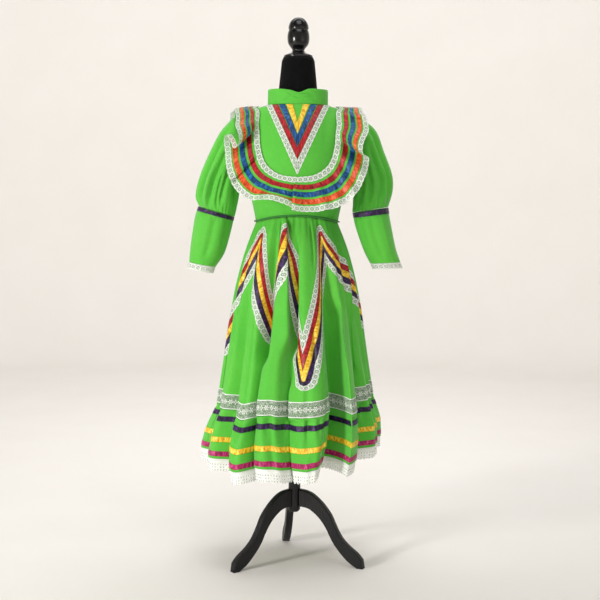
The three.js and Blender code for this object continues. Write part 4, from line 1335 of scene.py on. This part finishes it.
def laid(angle, z):
    """Narrow pleats that lap over themselves: the turn and the way out of each point."""
    turn, out = np.zeros(np.shape(angle)), np.zeros(np.shape(angle))
    for from_angle, from_z, to_angle, to_z, width, sideways, lift in LAID_FOLDS:
        t = (-z - from_z) / (to_z - from_z)
        at = mix(from_angle, to_angle, np.clip(t, 0, 1))
        pull = lap(angle_gap(angle, at) / width) * smooth(t, 0, 0.12) * smooth(1 - t, 0, 0.15)
        turn = turn - sideways * pull
        out = out + lift * pull + 0.3 * np.abs(lift * pull)
    side = angle_gap(angle, PLEAT["lip"])
    beyond = np.minimum(side + PLEAT["hidden"], 0)
    top = smooth(1 + side / PLEAT["hidden"])
    deep = smooth(z, PLEAT["bottom"], PLEAT["bottom"] + PLEAT["opens"])
    deep = deep * smooth(-z, -PLEAT["top"], -PLEAT["top"] + PLEAT["starts"])
    slid = hump(beyond, PLEAT["reach"]) * (1 - top)
    panel = hump(np.maximum(side, 0), PLEAT["panel"]) * top
    turn = turn + PLEAT["slide"] * slid * deep
    out = out + (PLEAT["lift"] * panel - PLEAT["under"] * slid) * deep
    return turn, out


def fold_at(angle):
    """The fold an angle lies in, the next one, and the share of the fold's width there."""
    start = FOLDS["valley"][0]
    turn = (angle - start) % 360 + start
    index = np.searchsorted(FOLDS["valley"], turn, side="right") - 1
    left, right = FOLDS["valley"][index], FOLD_ENDS[index]
    return index, (index + 1) % len(FOLD_ENDS), (turn - left) / (right - left)


def fold_wave(angle):
    """How deep the folds lie at an angle: 0 on a crest and most in a valley."""
    index, following, share = fold_at(angle)
    depth = np.where(share < 0.5, FOLDS["depth"][index], FOLDS["depth"][following])
    return -depth * np.cos(math.pi * share) ** VALLEY_SHARPNESS


def fold_drift(angle):
    """How far the flounce's folds swing aside by the hem, in degrees."""
    index, following, share = fold_at(angle)
    return mix(FOLDS["drift"][index], FOLDS["drift"][following], share)


def hitch(rise, angle):
    """An edge rises towards the sides, more at one than at the other."""
    side = np.sin(np.radians(angle))
    return np.where(side > 0, rise["right"], rise["left"]) * np.abs(side) ** 1.5


def seam_height(angle):
    """The height of the seam between the skirt and the flounce."""
    dropped = sum(drop * hump(angle_gap(angle, at), width) for at, width, drop in SEAM_DROPS)
    return SKIRT_SEAM + hitch(SEAM_RISE, angle) - dropped


def folded_oval(width, depth, inset, angle, z):
    """Points on an oval that grows by the inset."""
    turn = np.radians(angle)
    return point((width + inset) * np.sin(turn), -(depth + inset) * np.cos(turn), z)


def fading(angle, down, deep, count, phase, reach, gone):
    """Pleats that fade out over a reach and are gone from a place down."""
    return deep * smooth(gone - down, 0, reach) * gathers(angle, count, phase)


def skirt_surface(angle, down):
    """The skirt, from the waist seam at 0 to the flounce's seam at 1."""
    z = mix(waist_height(angle), seam_height(angle), down)
    row = read(SKIRT, "down", down)
    sewn = smooth(down, 0, 0.03)
    pleats = sum(fading(angle, down, *pleat) for pleat in WAIST_PLEATS)
    turn, out = laid(angle, z)
    inset = row["fold"] * fold_wave(leaning(angle, down)) + (pleats + out) * sewn
    inset = inset + CREASES_DEEP * creases(angle, -z, HANGING_CREASES) * sewn
    return folded_oval(row["width"], row["depth"], inset, angle + turn * sewn, z)


def fold_columns(steps):
    """Angles round the skirt from its first valley: each fold's steps, divided further."""
    main = np.sort(np.concatenate([mix(FOLDS["valley"], FOLD_ENDS, step) for step in steps]))
    main = np.append(main, main[0] + 360)
    fine = [np.linspace(a, b, COLUMNS_BETWEEN + 1)[:-1] for a, b in zip(main, main[1:])]
    return np.concatenate(fine)


def from_seam(columns, start, end):
    """The columns of a panel between two side seams."""
    turned = np.sort((columns - start) % 360 + start)
    inside = (turned > start + NEAREST_COLUMN) & (turned < end - NEAREST_COLUMN)
    return np.concatenate([[start], turned[inside], [end]])


SIDE_SEAMS = (-88.25, 89.5)
SEAM_INSET = 0.12
skirt_angles = fold_columns(SKIRT_STEPS)
panels = {
    "front": (SIDE_SEAMS[0] + SEAM_INSET, SIDE_SEAMS[1] - SEAM_INSET),
    "back": (SIDE_SEAMS[1] + SEAM_INSET, SIDE_SEAMS[0] + 360 - SEAM_INSET),
}
SKIRT_DOWNS = np.linspace(0.001, 0.999, 61)
for side, (start, end) in panels.items():
    columns = from_seam(skirt_angles, start, end)
    green_piece(f"skirt_{side}_cloth", f"skirt_{side}", skirt_surface, columns, SKIRT_DOWNS)

# %% [markdown]
# ## Zigzag band
# Lace, three ribbons and lace again are sewn side by side in a big zigzag while the skirt lies flat,
# so the zigzag runs evenly with the length of the cloth. On the folded skirt its arms dive into the
# valleys, and some points face the viewer while others are nearly hidden.

# %% Zigzag
ZIGZAG = table(
    "fold step tip narrow",  # narrow is the share of the width on the arm that starts here
    (1, 0.1, 0.04, 1), (1, 0.93, 0.66, 0.8), (2, 0.6, 0.035, 0.6), (3, 0.3, 0.865, 0.95),
    (4, 0.1, 0.04, 1), (6, 0.75, 0.66, 1), (7, 0.75, 0.04, 1), (8, 0.75, 0.78, 1), (9, 0.75, 0.04, 1),
    (10, 0.75, 0.78, 1), (11, 0.75, 0.04, 1), (12, 0.5, 0.75, 1),
)
ZIGZAG_HALF = 40  # half the band's width
ZIGZAG_STEP = 5
CORNER_STEP = 9  # degrees
SKIRT_LENGTH = WAIST_SIDE + WAIST_FRONT_RISE - SKIRT_SEAM
ZIGZAG_TRIMS = [
    # name, its two edges below the middle line, lift
    ("zigzag_lace_upper", -40, -21, 0.9, RING_LACE),
    ("zigzag_ribbon_red", -21.5, -7.5, 1.1, RED),
    ("zigzag_ribbon_yellow", -7, 7, 1.1, YELLOW),
    ("zigzag_ribbon_purple", 7.5, 21.5, 1.1, PURPLE),
    ("zigzag_lace_lower", 21, 40, 0.9, RING_LACE),
]

# The cloth's own length round the skirt, measured along the folds halfway down.
measured = np.linspace(-180, 180, 3601)
halfway = read(SKIRT, "down", 0.5)
wave = halfway["fold"] * fold_wave(measured)
round_skirt = folded_oval(halfway["width"], halfway["depth"], wave, measured, 0)
lengths = np.concatenate([[0], np.cumsum(np.linalg.norm(np.diff(round_skirt, axis=0), axis=1))])


def cloth_length(angle):
    """The length of cloth from the back middle to an angle."""
    turns = np.floor((angle + 180) / 360)
    return np.interp(angle - 360 * turns, measured, lengths) + turns * lengths[-1]


def cloth_angle(length):
    """The angle at a length of cloth, the other way round."""
    turns = np.floor(length / lengths[-1])
    return np.interp(length - lengths[-1] * turns, lengths, measured) + 360 * turns


def unit(vectors):
    return vectors / np.linalg.norm(vectors, axis=-1, keepdims=True)


def zigzag_corners():
    """The corners of the zigzag's middle line on the flat cloth: along, then down."""
    index = ZIGZAG["fold"].astype(int)
    along = cloth_length(mix(FOLDS["valley"][index], FOLD_ENDS[index], ZIGZAG["step"]))
    tips = ZIGZAG["tip"] * SKIRT_LENGTH
    narrow = (ZIGZAG["narrow"] + np.roll(ZIGZAG["narrow"], 1)) / 2
    inward = np.where(np.arange(len(tips)) % 2 == 0, ZIGZAG_HALF, -ZIGZAG_HALF) * narrow
    return np.stack([along, tips + inward], axis=-1)


def mitre(first, second):
    """Where two lines cross, given the way from the corner square to each."""
    matrix = np.stack([first / (first @ first), second / (second @ second)])
    return np.linalg.solve(matrix, np.ones(2))


def zigzag_columns():
    """For each column of the strips: its foot, its normal, and the mitre at its arm's two ends."""
    corners = zigzag_corners()
    count = len(corners)
    round_trip = np.array([lengths[-1], 0])
    points = [corners[i % count] + round_trip * (i // count) for i in range(-1, count + 2)]
    arms = [unit(b - a) for a, b in zip(points, points[1:])]
    narrow = [ZIGZAG["narrow"][i % count] for i in range(-1, count + 1)]
    normals = [np.array([-arm[1], arm[0]]) * share for arm, share in zip(arms, narrow)]
    mitres = [mitre(first, second) for first, second in zip(normals, normals[1:])]
    columns = []
    for i in range(count):
        start, end = points[i + 1], points[i + 2]
        before, here = normals[i], normals[i + 1]
        bends_down = (arms[i + 1] - arms[i])[1] > 0
        from_turn, to_turn = (math.atan2(normal[1], normal[0]) for normal in (before, here))
        fan = max(2, round(math.degrees(abs(to_turn - from_turn)) / CORNER_STEP))
        for share in np.linspace(0, 1, fan + 1)[:-1]:
            turn = mix(from_turn, to_turn, share)
            turned = np.array([math.cos(turn), math.sin(turn)]) * mix(narrow[i], narrow[i + 1], share)
            columns.append((start, turned, start, end, bends_down, mitres[i], mitres[i + 1]))
        steps = max(2, round(np.linalg.norm(end - start) / ZIGZAG_STEP))
        for share in np.linspace(0, 1, steps + 1)[:-1]:
            columns.append(
                (mix(start, end, share), here, start, end, bends_down, mitres[i], mitres[i + 1])
            )
    foot, normal, start, end, *rest = columns[0]
    columns.append((foot + round_trip, normal, start + round_trip, end + round_trip, *rest))
    return [np.array(values) for values in zip(*columns)]


FOOT, NORMAL, ARM_START, ARM_END, PEAK_FIRST, MITRE_START, MITRE_END = zigzag_columns()


def zigzag_place(column, away):
    """Where a strip's point lies: away is its distance below the middle line."""
    away = away[..., None]
    place = FOOT[column] + NORMAL[column] * away
    starts_at_peak = PEAK_FIRST[column][..., None]
    arm = unit(ARM_END - ARM_START)[column]
    for corner, mitre, facing, inside in (
        (ARM_START[column], MITRE_START[column], 1, starts_at_peak == (away > 0)),
        (ARM_END[column], MITRE_END[column], -1, starts_at_peak != (away > 0)),
    ):
        point_there = corner + mitre * away
        before = ((place - point_there) * arm).sum(axis=-1, keepdims=True) * facing < 0
        place = np.where(inside & before, point_there, place)
    return cloth_angle(place[..., 0]), place[..., 1] / SKIRT_LENGTH


def zigzag_strip(start, end, lift):
    def strip(column, share):
        angle, down = zigzag_place(column.astype(int), mix(start, end, share))
        return moved_out(skirt_surface, angle, down, lift)

    return strip


for name, start, end, lift, finish in ZIGZAG_TRIMS:
    strip = zigzag_strip(start, end, lift)
    trim(name + "_sewn", name, strip, np.arange(len(FOOT)), np.linspace(0, 1, 7), finish)

# %% [markdown]
# ## Wide lace
# A band of wide net lace is laid on the skirt's lower edge, just above the seam of the flounce.

# %% Wide lace
WIDE_LACE_DROP = 44
WIDE_LACE_END = 0.998
wide_lace_start = 1 - WIDE_LACE_DROP / (WAIST_SIDE - SKIRT_SEAM)
skirt_ring = np.append(skirt_angles, skirt_angles[0] + 360)
strip = laid_on(skirt_surface, wide_lace_start, WIDE_LACE_END, TRIM_LIFT)
trim("insertion_lace_sewn", "insertion_lace", strip, skirt_ring, np.linspace(0, 1, 9), LEAF_LACE)

# %% [markdown]
# ## Flounce
# The flounce is longer than the skirt's edge, so it is gathered into it: small pleats start at the
# seam and open out on the way down. Its folds carry on from the skirt's and swing a little aside.

# %% Flounce
FLOUNCE_LENGTH = 144
HEM_LACE_DROP = 37
GATHERS_PER_FOLD = 3
SEWN_REACH = 14
FLOUNCE_PLEATS = [(6, 61, 0.7, 80, 84), (6, 31, 1.9, 120, 175)]  # as `fading` takes them
SEAM_TUCKS = (17, 41, 2.2, 100, 105)
HEM_PLEATS = (31, 1.9)  # as `gathers` takes them
HEM_PLEAT_DEEP = 5
FLOUNCE = table(
    "drop width depth fold gather sway",
    (0, 234, 218, 63, 0, 0), (16, 243, 227, 66, 3.2, -1), (77, 262, 246, 73, 1.4, -6),
    (144, 270, 253, 77, 0.4, -11), (190, 272, 255, 78, 0, -13),
)


def flounce_surface(angle, drop):
    """The flounce, by its drop below the seam in millimetres."""
    row = read(FLOUNCE, "drop", drop)
    _, _, share_of_fold = fold_at(angle)
    even = -np.cos(2 * math.pi * GATHERS_PER_FOLD * share_of_fold)
    sewn = smooth(drop, 0, SEWN_REACH)
    pleats = sum(fading(angle, drop, *pleat) for pleat in FLOUNCE_PLEATS)
    pleats = pleats + HEM_PLEAT_DEEP * gathers(angle, *HEM_PLEATS)
    # The square makes the tucks at the seam narrow and leaves flat cloth between them.
    tucks = fading(angle, drop, *SEAM_TUCKS) * gathers(angle, *SEAM_TUCKS[1:3]) ** 2
    share = drop / (FLOUNCE_LENGTH + HEM_LACE_DROP)
    z = seam_height(angle) - drop + hitch(HEM_RISE, angle) * share
    turn, out = laid(angle, z)
    inset = row["fold"] * fold_wave(leaning(angle, 1.0)) + row["gather"] * even
    inset = inset + (pleats + tucks) * sewn + out
    inset = inset + CREASES_DEEP * creases(angle, -z, HANGING_CREASES)
    place = angle + fold_drift(angle) * share + turn
    return folded_oval(row["width"], row["depth"], inset, place, z) + point(row["sway"], 0, 0)


FLOUNCE_STEPS = tuple(i / 6 for i in range(6))
FLOUNCE_DROPS = np.linspace(SEAM_GAP, FLOUNCE_LENGTH, 31)
flounce_angles = fold_columns(FLOUNCE_STEPS)
for side, (start, end) in panels.items():
    columns = from_seam(flounce_angles, start, end)
    green_piece(f"flounce_{side}_cloth", f"flounce_{side}", flounce_surface, columns, FLOUNCE_DROPS)

# %% [markdown]
# ## Trims on the flounce
# Three ribbons run round the flounce and follow its gathers. The hem's lace hangs below its edge and
# is sewn on from behind, so it lies a little inside the flounce.

# %% Flounce trims
FLOUNCE_TRIMS = [
    # name, its two edges below the seam
    ("flounce_ribbon_purple", 21, 36, PURPLE),
    ("flounce_ribbon_yellow", 80, 95, YELLOW),
    ("flounce_ribbon_magenta", 122, 137, MAGENTA),
]
HEM_OVERLAP = 4
HEM_BEHIND = 2.0
FLOUNCE_PROBE = (0.05, 0.5)  # steps in angle and drop that find the flounce's slope
flounce_ring = np.append(flounce_angles, flounce_angles[0] + 360)
for name, top, bottom, finish in FLOUNCE_TRIMS:
    strip = laid_on(flounce_surface, top, bottom, TRIM_LIFT, *FLOUNCE_PROBE)
    trim(name + "_sewn", name, strip, flounce_ring, np.linspace(0, 1, 7), finish)
hem_top, hem_bottom = FLOUNCE_LENGTH - HEM_OVERLAP, FLOUNCE_LENGTH + HEM_LACE_DROP
strip = laid_on(flounce_surface, hem_top, hem_bottom, -HEM_BEHIND, *FLOUNCE_PROBE)
trim("hem_lace_gathered", "hem_lace", strip, flounce_ring, np.linspace(0, 1, 11), HEM_LACE)

# %% [markdown]
# ## Each piece's cut
# A maker cuts each sheet flat. The body's cloth hangs on the form, and each trim is laid on the cloth
# it is sewn to.

# %% [markdown]
# ## Floor and light
# A plain pale floor curves up into a wall all round. The key light comes from the left and the front,
# as in the photo. A large one hangs overhead, a weak one fills the right side, and the last lights
# the wall behind the dress.

# %% Studio
FLOOR_RADIUS = 4.4  # metres, as in the whole cell
WALL_CURVE = 1.0
WALL_TOP = 5.0
FLOOR_WELD = 1e-4
LIGHTS = [
    # name, place, what it points at, size, watts, tint
    ("key", (-2.7, -2.5, 1.25), (0, 0, 0.6), 0.6, 84, (1.0, 0.98, 0.96)),
    ("top", (0.2, -1.8, 4.2), (0, -0.9, 0), 2.4, 52, (1.0, 0.99, 0.98)),
    ("fill", (2.4, -2.4, 1.2), (0, 0, 0.8), 1.4, 5, (0.96, 0.98, 1.0)),
    ("backdrop", (0.0, 1.2, 3.8), (0, 4.6, 1.0), 3.0, 112, (1.0, 1.0, 1.0)),
]
ROOM_TINT = (0.96, 0.95, 0.94, 1)
ROOM_STRENGTH = 0.15


def studio_floor():
    """A round floor that curves up into a wall, so every side has the same backdrop."""
    finish = Finish("pale_floor")
    place = finish.object_place()
    tone = finish.blend(finish.noise(place, 3.0, 3.0), colour("efebe6"), colour("f4f1ed"))
    finish.done(Base_Color=tone, Roughness=0.9, Specular_IOR_Level=0.1)
    turns = np.linspace(0, math.pi / 2, 17)
    across = [0, 1, 2, 3, *(FLOOR_RADIUS + WALL_CURVE * np.sin(turns))]
    up = [0, 0, 0, 0, *(WALL_CURVE * (1 - np.cos(turns)))]
    profile = list(zip(across, up)) + [(FLOOR_RADIUS + WALL_CURVE, WALL_TOP)]
    floor = spun("studio_floor", profile, FLOOR_WELD)
    floor.data.materials.append(finish.material)


def area_light(name, place, target, size, power, tint):
    """A square light that looks at its target."""
    data = bpy.data.lights.new(name, "AREA")
    data.size, data.energy, data.color = size, power, tint
    light = bpy.data.objects.new(name, data)
    bpy.context.scene.collection.objects.link(light)
    back = np.array(place) - np.array(target)
    pan = math.atan2(back[0], -back[1])
    tilt = math.atan2(math.hypot(back[0], back[1]), back[2])
    light.location = place
    light.rotation_euler = (tilt, 0, pan)


studio_floor()
for row in LIGHTS:
    area_light(*row)
world = bpy.data.worlds.new("studio")
bpy.context.scene.world = world
world.use_nodes = True
room_light = world.node_tree.nodes["Background"]
room_light.inputs["Color"].default_value = ROOM_TINT
room_light.inputs["Strength"].default_value = ROOM_STRENGTH
bpy.context.scene.view_settings.view_transform = "Standard"
print("lights:", len(LIGHTS))
